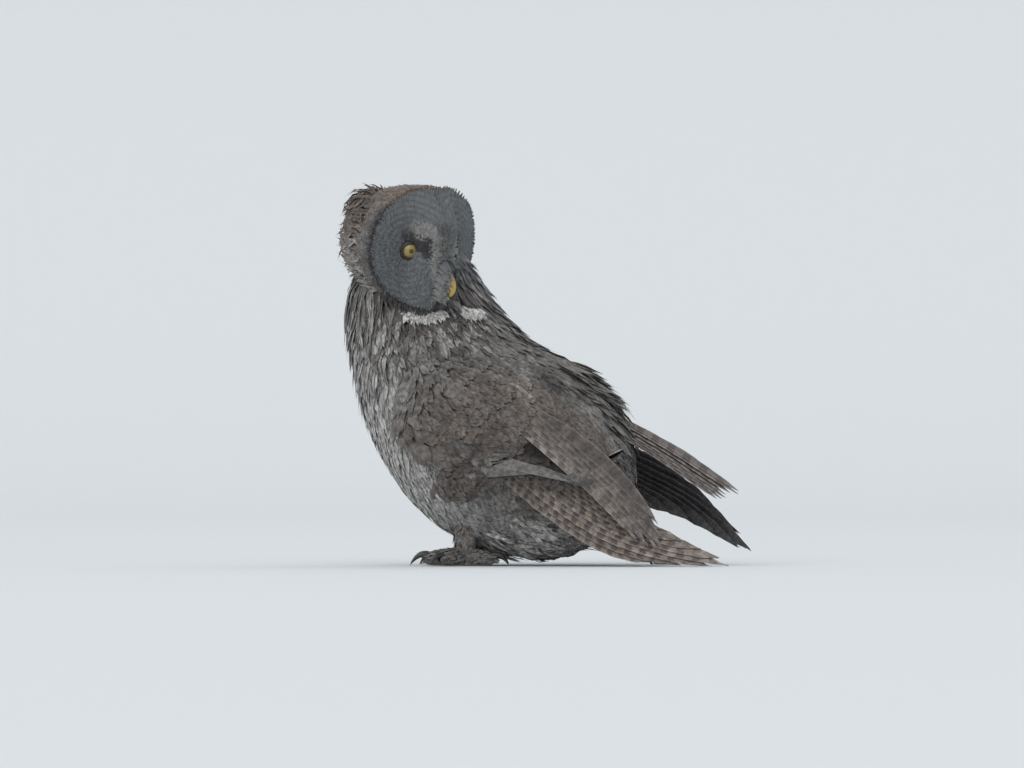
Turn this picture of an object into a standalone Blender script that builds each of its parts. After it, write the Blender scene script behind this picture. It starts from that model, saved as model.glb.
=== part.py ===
"""Great grey owl standing with its head turned over its left shoulder, life size.

Lengths are in metres; MM turns the millimetres of a table into metres. The bird heads -X, its left side
faces -Y, +Z is up and the soles are at z = 0. Lofted trunks come first; each child is cut by its parent
drawn GAP larger, so that the two meet face to face.
"""
import bpy
import bmesh
import numpy as np

for thing in list(bpy.data.objects):
    bpy.data.objects.remove(thing)

MM = 0.001
GAP = 0.0003
SEED = 7
NECK_END = 1.75      # station of the trunk where the neck meets the torso
RUMP_END = 7.0

# The trunk: breast line and back line in (x, z), and half its breadth, at eight stations from the head down.
BREAST = [(-134, 340), (-143, 302), (-136, 234), (-117, 160), (-75, 84), (-5, 27), (80, 9), (129, 22)]
BACK = [(4, 352), (28, 303), (67, 259), (118, 229), (156, 194), (181, 155), (191, 105), (189, 75)]
BREAST, BACK = np.array(BREAST) * MM, np.array(BACK) * MM
HALF = np.array([30, 39, 76, 90, 92, 81, 58, 38]) * MM

# The head: the middle of the facial disc's rim, the way it faces, and its sizes.
RIM = np.array([-55, -31, 366]) * MM
FACE = np.array([0.656, -0.755, -0.20])
FACE = FACE / np.linalg.norm(FACE)
SIDE = np.array([-0.755, -0.656, 0.0])           # towards the bird's right, the photo's left
SIDE = SIDE / np.linalg.norm(SIDE)
CROWN = np.cross(FACE, SIDE)
CROWN = CROWN if CROWN[2] > 0 else -CROWN
DISC_HALF, DISC_TALL = 79 * MM, 70.5 * MM
RIDGE, CHEEK, SKULL = 24 * MM, 22 * MM, 92 * MM

NAPE = np.array([-110, -8, 403]) * MM

EYE_R = 11.5 * MM
EYE_SIDE, EYE_UP, EYE_OUT = 30 * MM, -2 * MM, 2.0 * MM


# Numbers to shapes

def unit(v):
    """Rows of v scaled to length one."""
    v = np.asarray(v, float)
    return v / np.maximum(np.linalg.norm(v, axis=-1, keepdims=True), 1e-12)


def smooth(x, low, high):
    """Rises from 0 at low to 1 at high with no corner."""
    t = np.clip((x - low) / (high - low), 0, 1)
    return t * t * (3 - 2 * t)


def spline(table, at):
    """Catmull-Rom through the rows of table, read at station numbers; the ends run on straight."""
    table = np.asarray(table, float)
    last = len(table) - 1
    low = np.clip(np.floor(at).astype(int), 0, last - 1)
    t = at - low
    p1, p2 = table[low], table[low + 1]
    first_cell = (low == 0)
    last_cell = (low == last - 1)
    before = table[np.maximum(low - 1, 0)]
    after = table[np.minimum(low + 2, last)]
    if table.ndim > 1:
        t = t[..., None]
        first_cell = first_cell[..., None]
        last_cell = last_cell[..., None]
    p0 = np.where(first_cell, 2 * p1 - p2, before)
    p3 = np.where(last_cell, 2 * p2 - p1, after)
    return 0.5 * (2 * p1 + (p2 - p0) * t + (2 * p0 - 5 * p1 + 4 * p2 - p3) * t ** 2
                  + (3 * p1 - p0 - 3 * p2 + p3) * t ** 3)


def trunk(s, a, grow=0.0):
    """Points of the trunk at station s and angle a round it: 0 on the back, pi on the breast, a > 0 on +Y."""
    s, a = np.broadcast_arrays(np.asarray(s, float), np.asarray(a, float))
    low, high, half = spline(BREAST, s), spline(BACK, s), spline(HALF, s)
    middle = (low + high) / 2
    reach = np.linalg.norm(high - low, axis=-1) / 2
    axis = (high - low) / (2 * reach[..., None])
    flat = middle + axis * ((reach + grow) * np.cos(a))[..., None]
    y = (half + grow) * np.sin(a) * (1 - 0.10 * np.cos(a))
    return np.stack([flat[..., 0], y, flat[..., 1]], -1)


def mesh_object(name, points, faces):
    """A mesh object from points and triangles, turned so that its volume is positive."""
    points, faces = np.asarray(points, float), np.asarray(faces, int)
    corners = points[faces]
    if np.linalg.det(corners).sum() < 0:
        faces = faces[:, ::-1]
    mesh = bpy.data.meshes.new(name)
    mesh.from_pydata(points.tolist(), [], faces.tolist())
    mesh.update()
    made = bpy.data.objects.new(name, mesh)
    bpy.context.scene.collection.objects.link(made)
    return made


def tube_mesh(rings):
    """(points, triangles) of a closed surface through rings (n, m, 3), each end closed by a fan."""
    rings = np.asarray(rings, float)
    n, m, _ = rings.shape
    grid = np.arange(n * m).reshape(n, m)
    a, b = grid[:-1], grid[1:]
    a2, b2 = np.roll(a, -1, 1), np.roll(b, -1, 1)
    walls = [np.stack([a, b, b2], -1).reshape(-1, 3), np.stack([a, b2, a2], -1).reshape(-1, 3)]
    walls = np.concatenate(walls)
    points = np.concatenate([rings.reshape(-1, 3), rings[:1].mean(1), rings[-1:].mean(1)])
    first, last = n * m, n * m + 1
    start = np.stack([np.full(m, first), grid[0], np.roll(grid[0], -1)], -1)
    end = np.stack([np.full(m, last), np.roll(grid[-1], -1), grid[-1]], -1)
    return points, np.concatenate([walls, start, end])


def tube(name, rings):
    return mesh_object(name, *tube_mesh(rings))


def path_rings(path, radii, around=12, squash=1.0, up=(0, 0, 1)):
    """Rings of the given radii round a path; squash scales them along the direction nearest to up."""
    path, radii = np.asarray(path, float), np.asarray(radii, float)
    along = unit(np.gradient(path, axis=0))
    side = unit(np.cross(along, np.broadcast_to(up, path.shape)))
    top = np.cross(side, along)
    turn = np.linspace(0, 2 * np.pi, around, endpoint=False)
    return (path[:, None] + side[:, None] * (radii[:, None] * np.cos(turn))[..., None]
            + top[:, None] * (squash * radii[:, None] * np.sin(turn))[..., None])


def ball(name, centre, axes, rows=12, around=20):
    """An ellipsoid; axes holds its three half-axis vectors."""
    centre, axes = np.asarray(centre, float), np.asarray(axes, float)
    polar = np.linspace(0, np.pi, rows + 2)[1:-1]
    turn = np.linspace(0, 2 * np.pi, around, endpoint=False)
    rings = (centre + np.cos(polar)[:, None, None] * axes[0]
             + (np.sin(polar)[:, None] * np.cos(turn))[..., None] * axes[1]
             + (np.sin(polar)[:, None] * np.sin(turn))[..., None] * axes[2])
    points, faces = tube_mesh(rings)
    points[-2], points[-1] = centre + axes[0], centre - axes[0]
    return mesh_object(name, points, faces)


def strip(centre, across, out, half, thin, name="lock"):
    """A closed vane two points wide: half-widths along across, half-thicknesses along out, row by row.

    Both of its faces are triangulated alike, so that a thin curved vane never crosses itself.
    """
    rows = [centre + across * (e * half)[:, None] + out * (f * thin)[:, None]
            for e, f in ((-1, 1), (1, 1), (-1, -1), (1, -1))]
    n = len(centre)
    a, b, c, d = (np.arange(n) + i * n for i in range(4))
    faces = []
    for i in range(n - 1):
        faces += [(a[i], a[i + 1], b[i + 1]), (a[i], b[i + 1], b[i]), (c[i], d[i + 1], c[i + 1]),
                  (c[i], d[i], d[i + 1]), (a[i], c[i], c[i + 1]), (a[i], c[i + 1], a[i + 1]),
                  (b[i], d[i + 1], d[i]), (b[i], b[i + 1], d[i + 1])]
    faces += [(a[0], b[0], d[0]), (a[0], d[0], c[0]), (a[-1], d[-1], b[-1]), (a[-1], c[-1], d[-1])]
    return mesh_object(name, np.concatenate(rows), faces)


def trunk_lock(s0, s1, a0, a1, width, heights, thick=1.0, lean=0.0):
    """A lock or loose feather over the trunk: its root sunk, then heights (mm) above the surface along it."""
    t = np.array([0, 0.3, 0.62, 0.87, 1.0])
    s, a = s0 + (s1 - s0) * t, np.radians(a0 + (a1 - a0) * t)
    h = np.interp(t, np.linspace(0, 1, len(heights)), heights) * MM
    base = trunk(s, a)
    out = unit(base - trunk(s, a, -0.01))
    centre = base + out * h[:, None]
    along = unit(np.gradient(centre, axis=0))
    across = unit(np.cross(out, along))
    out = np.cross(along, across)
    half = width / 2 * MM * np.array([0.6, 0.95, 1.0, 0.75, 0.3])
    thin = thick / 2 * MM * np.array([1.5, 1.2, 1.0, 0.8, 0.6])
    return strip(centre, unit(across + out * lean), out, half, thin)


def nape_locks():
    """The ragged edge of the wind-raised nape: flat locks standing out and bending over."""
    picks = np.random.default_rng(SEED)
    pieces = []
    for polar, count, first in ((20, 4, 60), (52, 7, 40), (84, 8, 55), (116, 6, 75)):
        for i in range(count):
            turn = np.radians(first + 215 * i / (count - 1) + picks.uniform(-6, 6))
            tilt = np.radians(polar + picks.uniform(-5, 5))
            level = np.sin(tilt)
            way = unit(np.array([-level * np.sin(turn), -level * np.cos(turn), np.cos(tilt)]))
            root = NAPE + way * np.array([32, 42, 33]) * MM * 0.88
            bend = unit(np.array([-0.35, 0.1, 0.45]) - way * 0.2)
            t = np.array([0, 0.35, 0.7, 1.0])
            length = picks.uniform(11, 16) * MM
            centre = root + way * (length * t)[:, None] + bend * (length * 0.35 * t ** 2)[:, None]
            along = unit(np.gradient(centre, axis=0))
            across = unit(np.cross(along, unit(bend + [0.3, 0.4, 0.1])))
            out = np.cross(across, along)
            width = picks.uniform(13, 18) * MM
            pieces.append(strip(centre, across, out, width / 2 * np.array([0.9, 1.0, 0.8, 0.3]),
                                np.array([1.6, 1.2, 0.8, 0.4]) * MM))
    return pieces


def neck_locks():
    """Two rings of loose feathers: the pale throat under the face and the lower neck over the breast."""
    picks = np.random.default_rng(SEED + 1)
    pieces = []
    for i in range(7):
        a = -148 + 17 * i + picks.uniform(-3, 3)
        end = 1.52 + picks.uniform(-0.06, 0.06)
        pieces.append(trunk_lock(0.95, end, a, a + 2, 17, (-2.5, 1, 3, 4.2, 5.2), 1.1, 0.07))
    for i in range(12):
        a = 360 / 12 * i + picks.uniform(-4, 4)
        end = 2.15 + picks.uniform(-0.12, 0.12)
        pieces.append(trunk_lock(1.25, end, a, a + 3, 27, (-2.5, 0.8, 2.6, 4, 5), 1.1, 0.06))
    return pieces


def torso_locks():
    """Wind-lifted scapulars along the back, and loose belly plumage blown back above the floor."""
    pieces = []
    scapulars = ((2.35, 3.45, -16, 9), (2.7, 3.95, 4, 13), (2.9, 4.2, -24, 10), (3.1, 4.45, -8, 18),
                 (3.3, 4.75, 13, 15), (3.5, 4.7, -19, 20), (2.6, 3.7, 22, 8), (3.7, 4.8, 2, 12))
    for i, (s0, s1, a, high) in enumerate(scapulars):
        heights = (-3, 1.5, high * 0.4, high * 0.75, high)
        pieces.append(trunk_lock(s0, s1, a, a * 1.1, 17 - (i % 3) * 2, heights, 1.1))
    belly = ((5.2, 6.15, -172, 4), (5.35, 6.35, -160, 7), (5.4, 6.5, -147, 8), (5.3, 6.3, 164, 5),
             (5.5, 6.5, 150, 8), (5.9, 6.9, -178, 7), (6.0, 7.0, -158, 9), (5.9, 6.95, 161, 9))
    for i, (s0, s1, a, high) in enumerate(belly):
        pieces.append(trunk_lock(s0, s1, a, a, 16, (-2.5, 0.8, high * 0.45, high * 0.75, high), 1.1))
    return pieces


# Joining and cutting

def settle(obj, keep_biggest=True):
    """Applies the object's modifiers and keeps its largest closed surface."""
    bpy.context.view_layer.update()
    graph = bpy.context.evaluated_depsgraph_get()
    mesh = bpy.data.meshes.new_from_object(obj.evaluated_get(graph))
    obj.modifiers.clear()
    obj.data = mesh
    work = bmesh.new()
    work.from_mesh(mesh)
    bmesh.ops.remove_doubles(work, verts=work.verts, dist=2e-6)
    bmesh.ops.dissolve_degenerate(work, edges=work.edges, dist=2e-6)
    bmesh.ops.triangulate(work, faces=work.faces)
    if keep_biggest:
        work.verts.index_update()
        seen, islands = set(), []
        for start in work.verts:
            if start in seen:
                continue
            island, stack = [], [start]
            seen.add(start)
            while stack:
                vert = stack.pop()
                island.append(vert)
                for edge in vert.link_edges:
                    other = edge.other_vert(vert)
                    if other not in seen:
                        seen.add(other)
                        stack.append(other)
            islands.append(island)
        islands.sort(key=size_of, reverse=True)
        for island in islands[1:]:
            bmesh.ops.delete(work, geom=island, context="VERTS")
    work.to_mesh(mesh)
    work.free()
    mesh.update()
    return obj


def size_of(island):
    """The volume of the box round an island of vertices."""
    points = np.array([v.co[:] for v in island])
    return float(np.prod(np.ptp(points, axis=0)))


def faulty(obj):
    """Whether a Boolean left nothing, or a surface with an open or a shared edge."""
    work = bmesh.new()
    work.from_mesh(obj.data)
    bad = len(work.faces) < 4 or any(not edge.is_manifold for edge in work.edges)
    work.free()
    return bad


def combine(name, base, others, operation, solver="EXACT"):
    """One Boolean of base with a collection of others, which it uses up."""
    group = bpy.data.collections.new(name + "_" + operation)
    bpy.context.scene.collection.children.link(group)
    for other in others:
        bpy.context.scene.collection.objects.unlink(other)
        group.objects.link(other)
    cut = base.modifiers.new(operation, "BOOLEAN")
    cut.operation = operation
    cut.operand_type = "COLLECTION"
    cut.collection = group
    cut.solver = solver
    before = base.data.copy()
    settle(base)
    if faulty(base):
        base.data = before
        again = base.modifiers.new(operation, "BOOLEAN")
        again.operation, again.operand_type, again.collection = operation, "COLLECTION", group
        again.solver = "MANIFOLD" if solver == "EXACT" else "EXACT"
        settle(base)
    for other in others:
        bpy.data.objects.remove(other)
    bpy.data.collections.remove(group)
    base.name = name
    return base


def join(name, pieces, solver="EXACT"):
    return combine(name, pieces[0], pieces[1:], "UNION", solver)


def carve(name, base, cutters, solver="EXACT"):
    return combine(name, base, cutters, "DIFFERENCE", solver)


# Trunk and head

TURN = np.linspace(0, 2 * np.pi, 28, endpoint=False)


def trunk_rings(start, end, steps, grow=0.0):
    """Rings of the trunk between two stations; past the rump the last ring closes in a dome."""
    stations = np.linspace(start, end, steps)
    rings = [trunk(s, TURN, grow) for s in stations]
    if end >= RUMP_END:
        last = rings[-1]
        middle = last.mean(0)
        run = unit((spline(BREAST, np.array(end)) - spline(BREAST, np.array(end - 0.3))
                    + spline(BACK, np.array(end)) - spline(BACK, np.array(end - 0.3))))
        way = np.array([run[0], 0, run[1]])
        for t in np.radians([22, 42, 60, 75]):
            rings.append(middle + (last - middle) * np.cos(t) + way * (16 * MM + grow) * np.sin(t))
    return np.array(rings)


def torso_solid(name="torso", grow=0.0):
    start = NECK_END + (0.0057 if not grow else -0.002)
    return tube(name, trunk_rings(start, RUMP_END, 16, grow))


def disc_depth(l, v):
    """How far the face stands out of the rim's middle plane: a flat-topped ridge, cheeks, a sloping crown."""
    u, w = l / DISC_HALF, v / DISC_TALL
    ridge = RIDGE * np.exp(-(np.abs(l) / (27 * MM)) ** 6)
    ridge = ridge * (1 - 0.8 * smooth(w, 0.3, 1.0)) * (1 - 0.2 * smooth(-w, 0.7, 1.0))
    return ridge + CHEEK * (1 - np.abs(u) ** 1.5) - np.where(w > 0, 20, 4) * MM * w * w


def head_rings(grow=0.0, around=28):
    """Rings from the middle of the face out to the rim and back over the skull."""
    turn = np.linspace(0, 2 * np.pi, around, endpoint=False)
    rings = []
    for r in (0.06, 0.16, 0.28, 0.4, 0.52, 0.64, 0.76, 0.87, 0.95):
        l, v = r * DISC_HALF * np.cos(turn), r * DISC_TALL * np.sin(turn)
        rings.append((l, v, disc_depth(l, v) + grow))
    l, v = DISC_HALF * np.cos(turn), DISC_TALL * np.sin(turn)
    square = 1 + 0.11 * smooth(v, 0, 0.5 * DISC_TALL) * np.sin(2 * turn) ** 2 * (l < 0)
    l, v = l * square, v * square
    edge = disc_depth(l, v)
    more = 1 + grow / DISC_HALF
    rings.append((l * more, v * more, edge + 2.5 * MM + grow * 0.7))
    for t in np.radians([4, 14, 26, 38, 50, 61, 71, 80, 87]):
        k = (np.cos(t) ** 0.72) * more * (1 + 0.02 * np.sin(2 * t))
        rings.append((l * k, v * k, edge * np.cos(t) ** 1.5 - (SKULL + grow) * np.sin(t)))
    rings = np.array(rings).transpose(0, 2, 1)
    return RIM + rings[..., :1] * SIDE + rings[..., 1:2] * CROWN + rings[..., 2:] * FACE


def on_face(l, v, d):
    """A point from its place across, up and out of the face."""
    return RIM + l * SIDE + v * CROWN + d * FACE


def nape_solid(name="nape", grow=0.0):
    """The wind-raised feathers behind the far edge of the disc."""
    axes = [(0.20, 0.0, 1.0), (1.0, 0.3, -0.2), (-0.3, 1.0, 0.0)]
    axes = [unit(axis) * (size * MM + grow) for axis, size in zip(axes, (33, 32, 42))]
    return ball(name, NAPE, axes, 8, 14)


def eye_place(side):
    l = side * EYE_SIDE
    return on_face(l, EYE_UP, disc_depth(l, EYE_UP) - EYE_R + EYE_OUT)


def eye_solid(name, side, grow=0.0):
    r = EYE_R + grow
    look = unit(FACE + 0.35 * side * SIDE)
    right = unit(np.cross(look, CROWN))
    return ball(name, eye_place(side), [look * r, right * r, np.cross(right, look) * r], 8, 14)


def lid_solid(side):
    """A thick ring round the opening of the eye, drawn down a little over its top."""
    look = unit(FACE + 0.35 * side * SIDE)
    right = unit(np.cross(look, CROWN))
    up = np.cross(right, look)
    turn = np.linspace(0, 2 * np.pi, 14, endpoint=False)
    out = np.cos(turn)[:, None] * right + np.sin(turn)[:, None] * up
    round_tube = np.linspace(0, 2 * np.pi, 5, endpoint=False)
    centre = eye_place(side) + look * 7.4 * MM
    rings = (centre + out[:, None] * (9.6 * MM + 2.6 * MM * np.cos(round_tube))[:, None]
             + look * (2.9 * MM * np.sin(round_tube))[:, None])
    n, m, _ = rings.shape
    grid = np.arange(n * m).reshape(n, m)
    b, a2 = np.roll(grid, -1, 0), np.roll(grid, -1, 1)
    b2 = np.roll(b, -1, 1)
    faces = [np.stack([grid, b, b2], -1).reshape(-1, 3), np.stack([grid, b2, a2], -1).reshape(-1, 3)]
    faces = np.concatenate(faces)
    return mesh_object("lid", rings.reshape(-1, 3), faces)


def bill_upper_solid():
    """The hooked upper bill with its soft cere, standing out of the foot of the face ridge."""
    line = ((-15.5, 38.5), (-20.5, 46.5), (-26.5, 55), (-33.5, 61), (-39.5, 62.5), (-44.5, 61), (-47.5, 58))
    path = [on_face(0, v * MM, d * MM) for v, d in line]
    radii = np.array([5.8, 6.0, 5.7, 4.9, 3.9, 2.5, 0.8]) * MM
    return tube("bill_upper", path_rings(path, radii, 14, 1.1, FACE))


def nostril(side):
    """The cutter of a nostril: a small ball that lies along the side of the upper bill."""
    slope = unit(0.55 * FACE - 0.85 * CROWN)
    axes = [slope * 2.4 * MM, SIDE * 1.8 * MM, np.cross(slope, SIDE) * 1.5 * MM]
    return ball("nostril", on_face(side * 4.9 * MM, -26.5 * MM, 58.0 * MM), axes, 3, 8)


def bill_lower_solid():
    line = ((-33.5, 44.5), (-37.5, 50), (-41.5, 53.5), (-45, 55))
    path = [on_face(0, v * MM, d * MM) for v, d in line]
    radii = np.array([5.1, 4.7, 3.4, 1.1]) * MM
    return tube("bill_lower", path_rings(path, radii, 14, 0.55, FACE))


torso = join("torso", [torso_solid()] + torso_locks())
neck = join("neck", [tube("neck", trunk_rings(0.0, NECK_END, 7))] + neck_locks())
neck = carve("neck", neck, [tube("h", head_rings(GAP)), nape_solid("n", GAP), eye_solid("e", -1, 4 * MM),
                            torso_solid("t", GAP)])

head = tube("head", head_rings())
head = join("head", [head, nape_solid(), lid_solid(1), lid_solid(-1)] + nape_locks())
head = carve("head", head, [eye_solid("e1", 1, GAP), eye_solid("e2", -1, GAP)])
eye_right = eye_solid("eye_right", 1)
eye_left = eye_solid("eye_left", -1)
bill_upper = carve("bill_upper", bill_upper_solid(), [tube("h", head_rings(GAP)), nostril(1), nostril(-1)])
bill_lower = carve("bill_lower", bill_lower_solid(), [tube("h", head_rings(GAP))])


# Wings and tail

WING_OUT = 104 * MM      # how far out the folded wing's side stays while the body narrows behind it


def shell_point(u, w, height=0.0):
    """The outer side of the left wing's arm: u runs back from the wrist, w up from the lower edge."""
    u, w = np.broadcast_arrays(np.asarray(u, float), np.asarray(w, float))
    marks = [0, 0.12, 0.3, 0.5, 0.72, 1.0]
    lower_s = np.interp(u, marks, [2.35, 3.30, 3.80, 4.22, 4.35, 5.50])
    lower_a = np.interp(u, marks, [118, 140, 121, 107, 84, 68])
    upper_s = np.interp(u, marks, [2.1, 2.35, 2.9, 3.4, 4.1, 5.3])
    upper_a = np.interp(u, marks, [100, 66, 48, 42, 39, 37])
    s = lower_s + (upper_s - lower_s) * w
    a = np.radians(lower_a + (upper_a - lower_a) * w)
    rise = (np.clip(np.sin(np.pi * np.clip(u * 0.94 + 0.06, 0, 1)), 0, 1) ** 0.5
            * np.clip(np.sin(np.pi * np.clip(0.10 + 0.82 * w, 0, 1)), 0, 1) ** 0.6)
    base = trunk(s, a)
    away = unit(base - trunk(s, a, -0.01))
    outer = base + away * (2.5 * MM + 13 * MM * rise)[..., None]
    straight = smooth(u, 0.15, 0.6) * (1 - smooth(w, 0.35, 0.95))
    outer[..., 1] += straight * np.maximum(WING_OUT - outer[..., 1], 0)
    away = unit(away + straight[..., None] * np.array([0, 1.2, 0]))
    outer = outer + away * np.asarray(height)[..., None]
    inner = trunk(s, a, -4 * MM)
    return outer * [1, -1, 1], inner * [1, -1, 1], away * [1, -1, 1]


def mirrored(points, side):
    """The left wing's points, or the same on the right."""
    return points * [1, -side, 1]


def wing_shell(name, side, grow=0.0, rows=12, columns=9):
    """The folded arm with its coverts as one closed body; grow thickens it as a cutter."""
    u = np.linspace(0, 1, rows)[:, None]
    w = np.linspace(0, 1, columns)[None, :]
    outer, inner, _ = shell_point(u, w, np.full((rows, columns), grow))
    outer, inner = mirrored(outer, side), mirrored(inner, side)
    n, m = rows, columns
    points = np.concatenate([outer.reshape(-1, 3), inner.reshape(-1, 3)])
    top = np.arange(n * m).reshape(n, m)
    low = top + n * m
    a0, b0, c0, d0 = top[:-1, :-1], top[1:, :-1], top[1:, 1:], top[:-1, 1:]
    faces = [np.stack([a0, b0, c0], -1), np.stack([a0, c0, d0], -1)]
    a1, b1, c1, d1 = low[:-1, :-1], low[1:, :-1], low[1:, 1:], low[:-1, 1:]
    faces += [np.stack([a1, c1, b1], -1), np.stack([a1, d1, c1], -1)]
    faces = [f.reshape(-1, 3) for f in faces]
    ring = np.concatenate([top[:, 0], top[-1, 1:], top[-2::-1, -1], top[0, -2:0:-1]])
    ring2 = ring + n * m
    nxt, nxt2 = np.roll(ring, -1), np.roll(ring2, -1)
    faces += [np.stack([ring, ring2, nxt2], -1), np.stack([ring, nxt2, nxt], -1)]
    return mesh_object(name, points, np.concatenate(faces))


def curve(points, count):
    """A smooth path of count points through the given ones, in metres."""
    points = np.asarray(points, float) * MM
    return spline(points, np.linspace(0, len(points) - 1, count))


def fade(count, *values):
    """Values in millimetres spread evenly over count places, in metres."""
    return np.interp(np.linspace(0, 1, count), np.linspace(0, 1, len(values)), values) * MM


class Fan:
    """A bent, twisting sheet that a stack of flight feathers shares.

    place(t, q, k) lies t of the way along its path, q across it and k out of it. Every feather reads the same
    straight steps between stations, so the space between two layers stays as it is set.
    """

    def __init__(self, path, normals):
        self.path = np.asarray(path, float)
        along = unit(np.gradient(self.path, axis=0))
        self.side = unit(np.cross(unit(normals), along))
        self.out = np.cross(along, self.side)
        self.stations = np.linspace(0, 1, len(self.path))

    def place(self, t, q, k):
        t = np.asarray(t, float)

        def read(rows):
            return np.stack([np.interp(t, self.stations, rows[:, i]) for i in range(3)], -1)

        return (read(self.path) + read(self.side) * np.broadcast_to(q, t.shape)[..., None]
                + read(self.out) * np.broadcast_to(k, t.shape)[..., None])

    def feather(self, start, end, q_root, q_tip, width, k, thick=0.7 * MM, blunt=0.45):
        """One vane from start to end of the path, tapered to both ends, thinner at its tip."""
        inside = self.stations[(self.stations > start + 0.02) & (self.stations < end - 0.05)]
        t = np.concatenate([[start], inside, [end - 0.028, end]])
        part = (t - start) / (end - start)
        q = q_root + (q_tip - q_root) * part
        half = width / 2 * np.interp(part, [0, 0.25, 0.7, 0.9, 1], [0.55, 0.85, 1.0, 0.86, blunt])
        deep = thick / 2 * np.interp(part, [0, 0.7, 1], [1.3, 1.0, 0.6])
        n = len(t)
        rows = [self.place(t, q + e * half, k + f * deep) for e, f in ((-1, 1), (1, 1), (-1, -1), (1, -1))]
        middle = sum(rows) / 4
        across, out = (rows[1] - rows[0]) / 2, (rows[0] - rows[2]) / 2
        ones = np.ones(len(t))
        return strip(middle, across, out, ones, ones, "vane")

    def envelope(self, name, end, widths, thick, grow=0.0):
        """The smooth body that holds the whole stack, from the root to the part end of its length."""
        t = self.stations[self.stations <= end + 1e-6]
        half = np.interp(t, np.linspace(0, 1, len(widths)), widths) * MM / 2 + grow
        deep = np.interp(t, np.linspace(0, 1, len(thick)), thick) * MM / 2 + grow
        rings = np.stack([self.place(t, half * x, deep * y)
                          for x, y in ((-1, -0.5), (-0.8, -1), (0.8, -1), (1, -0.5), (1, 0.5), (0.8, 1), (-0.8, 1), (-1, 0.5))], 1)
        return tube(name, rings)


NEAR_LINE = [(20, -92, 145), (60, -91, 118), (105, -88, 84), (160, -86, 47), (225, -93, 23), (294, -110, 3)]
FAR_LINE = [(20, 92, 160), (65, 91, 150), (120, 88, 131), (185, 80, 101), (250, 67, 69), (324, 52, 15)]
NEAR = Fan(curve(NEAR_LINE, 11),
           np.linspace([0.06, -1.0, 0.06], [0.10, -0.78, 0.60], 11))
FAR = Fan(curve(FAR_LINE, 11),
          np.linspace([-0.06, 1.0, 0.06], [0.02, 0.92, 0.38], 11))
TAIL = Fan(curve([(110, 2, 190), (150, 2, 173), (200, 0, 148), (250, -2, 118), (306, -4, 80)], 9),
           np.linspace([0.42, -0.30, 0.86], [0.5, -0.36, 0.80], 9))
OVER = np.array([(60, -101, 158), (105, -101, 126), (150, -99.5, 88), (190, -99, 45), (214, -100.5, 13)])
NEAR_TERTIALS = Fan(curve(OVER, 8), np.linspace([0.06, -1.0, 0.10], [0.10, -0.95, 0.20], 8))
FAR_TERTIALS = Fan(curve(OVER * [1, -1, 1], 8), np.linspace([0.06, 1.0, 0.10], [0.10, 0.95, 0.20], 8))
NEAR_WIDTHS, NEAR_THICK = (56, 70, 80, 80, 70, 56, 30), (14, 14, 14, 14, 14, 14, 14)

# Primaries from the innermost to the outermost: where each tip ends along the path, and its place across.
PRIMARY_TIPS = (0.66, 0.71, 0.77, 0.84, 0.91, 0.97, 1.0, 0.95, 0.86, 0.77)
ROOTS = np.linspace(22, -22, 10)
TIPS_ACROSS = (23, 20, 17, 13, 9, 5, 0, -8, -16, -23)


def primaries(name, fan, sense):
    """The ten primaries of a half-folded wing, the innermost outside, on a root under the coverts."""
    block = fan.envelope("root", 0.3, [52, 60, 66], (12.4, 12.4))
    pieces = [block]
    for i, end in enumerate(PRIMARY_TIPS):
        pieces.append(fan.feather(0.12, end, sense * ROOTS[i] * MM, sense * TIPS_ACROSS[i] * MM,
                                  (19 + 0.35 * i) * MM, (4.5 - i) * 1.12 * MM, blunt=0.4))
    return join(name, pieces)


# How far each pair of tail feathers lies out of the fan, left and right, in millimetres, middle pair first.
TAIL_LAYERS = ((5.0, 3.9), (2.8, 1.7), (0.6, -0.5), (-1.6, -1.6), (-2.7, -2.7), (-3.8, -3.8))


def tail_vanes(name, grow=0.0):
    pieces = [TAIL.envelope("rump", 0.5, (44, 50, 54, 40), (15, 15, 13, 10), grow)]
    for i in range(12):
        rank = int(abs(i - 5.5))
        side = 1 if i > 5.5 else -1
        k = TAIL_LAYERS[rank][side > 0]
        end = 1.0 - (0.035 if side > 0 else 0.008) * rank - 0.01 * (i % 3)
        pieces.append(TAIL.feather(0.2, end, side * (2 + rank * 3.2) * MM,
                                   side * (3 + rank * 6.2) * MM, 19 * MM, k * MM, 0.75 * MM, blunt=0.5))
    return join(name, pieces)


def covert(u0, u1, w0, w1, width, tilt, side, low=-2.0, high=4.4, thick=0.9):
    """A body-side feather lying on the wing's arm: its root sunk, its tip raised, one edge under the next."""
    t = np.array([0, 0.3, 0.62, 0.88, 1.0])
    u, w = u0 + (u1 - u0) * t, w0 + (w1 - w0) * t
    half = width / 2 * np.array([0.6, 0.9, 1.0, 0.8, 0.4])
    height = np.interp(t, [0, 1], [low, high])
    centre, _, away = shell_point(np.minimum(u, 1.0), w, height * MM)
    if u1 > 1:
        last = centre[1] - centre[0]
        for i in np.nonzero(u > 1)[0]:
            centre[i] = centre[i - 1] + unit(last) * (u[i] - u[i - 1]) * 0.25
    along = unit(np.gradient(centre, axis=0))
    across = unit(np.cross(away, along))
    away = np.cross(along, across)
    lean = tilt * 0.001
    thin = thick / 2 * MM * np.interp(t, [0, 1], [1.2, 0.7])
    leaning = across + away * (lean / (half * MM))[:, None]
    flip = [1, -side, 1]
    return strip(centre * flip, leaning * flip, away * flip, half * MM, thin, "covert")


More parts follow.
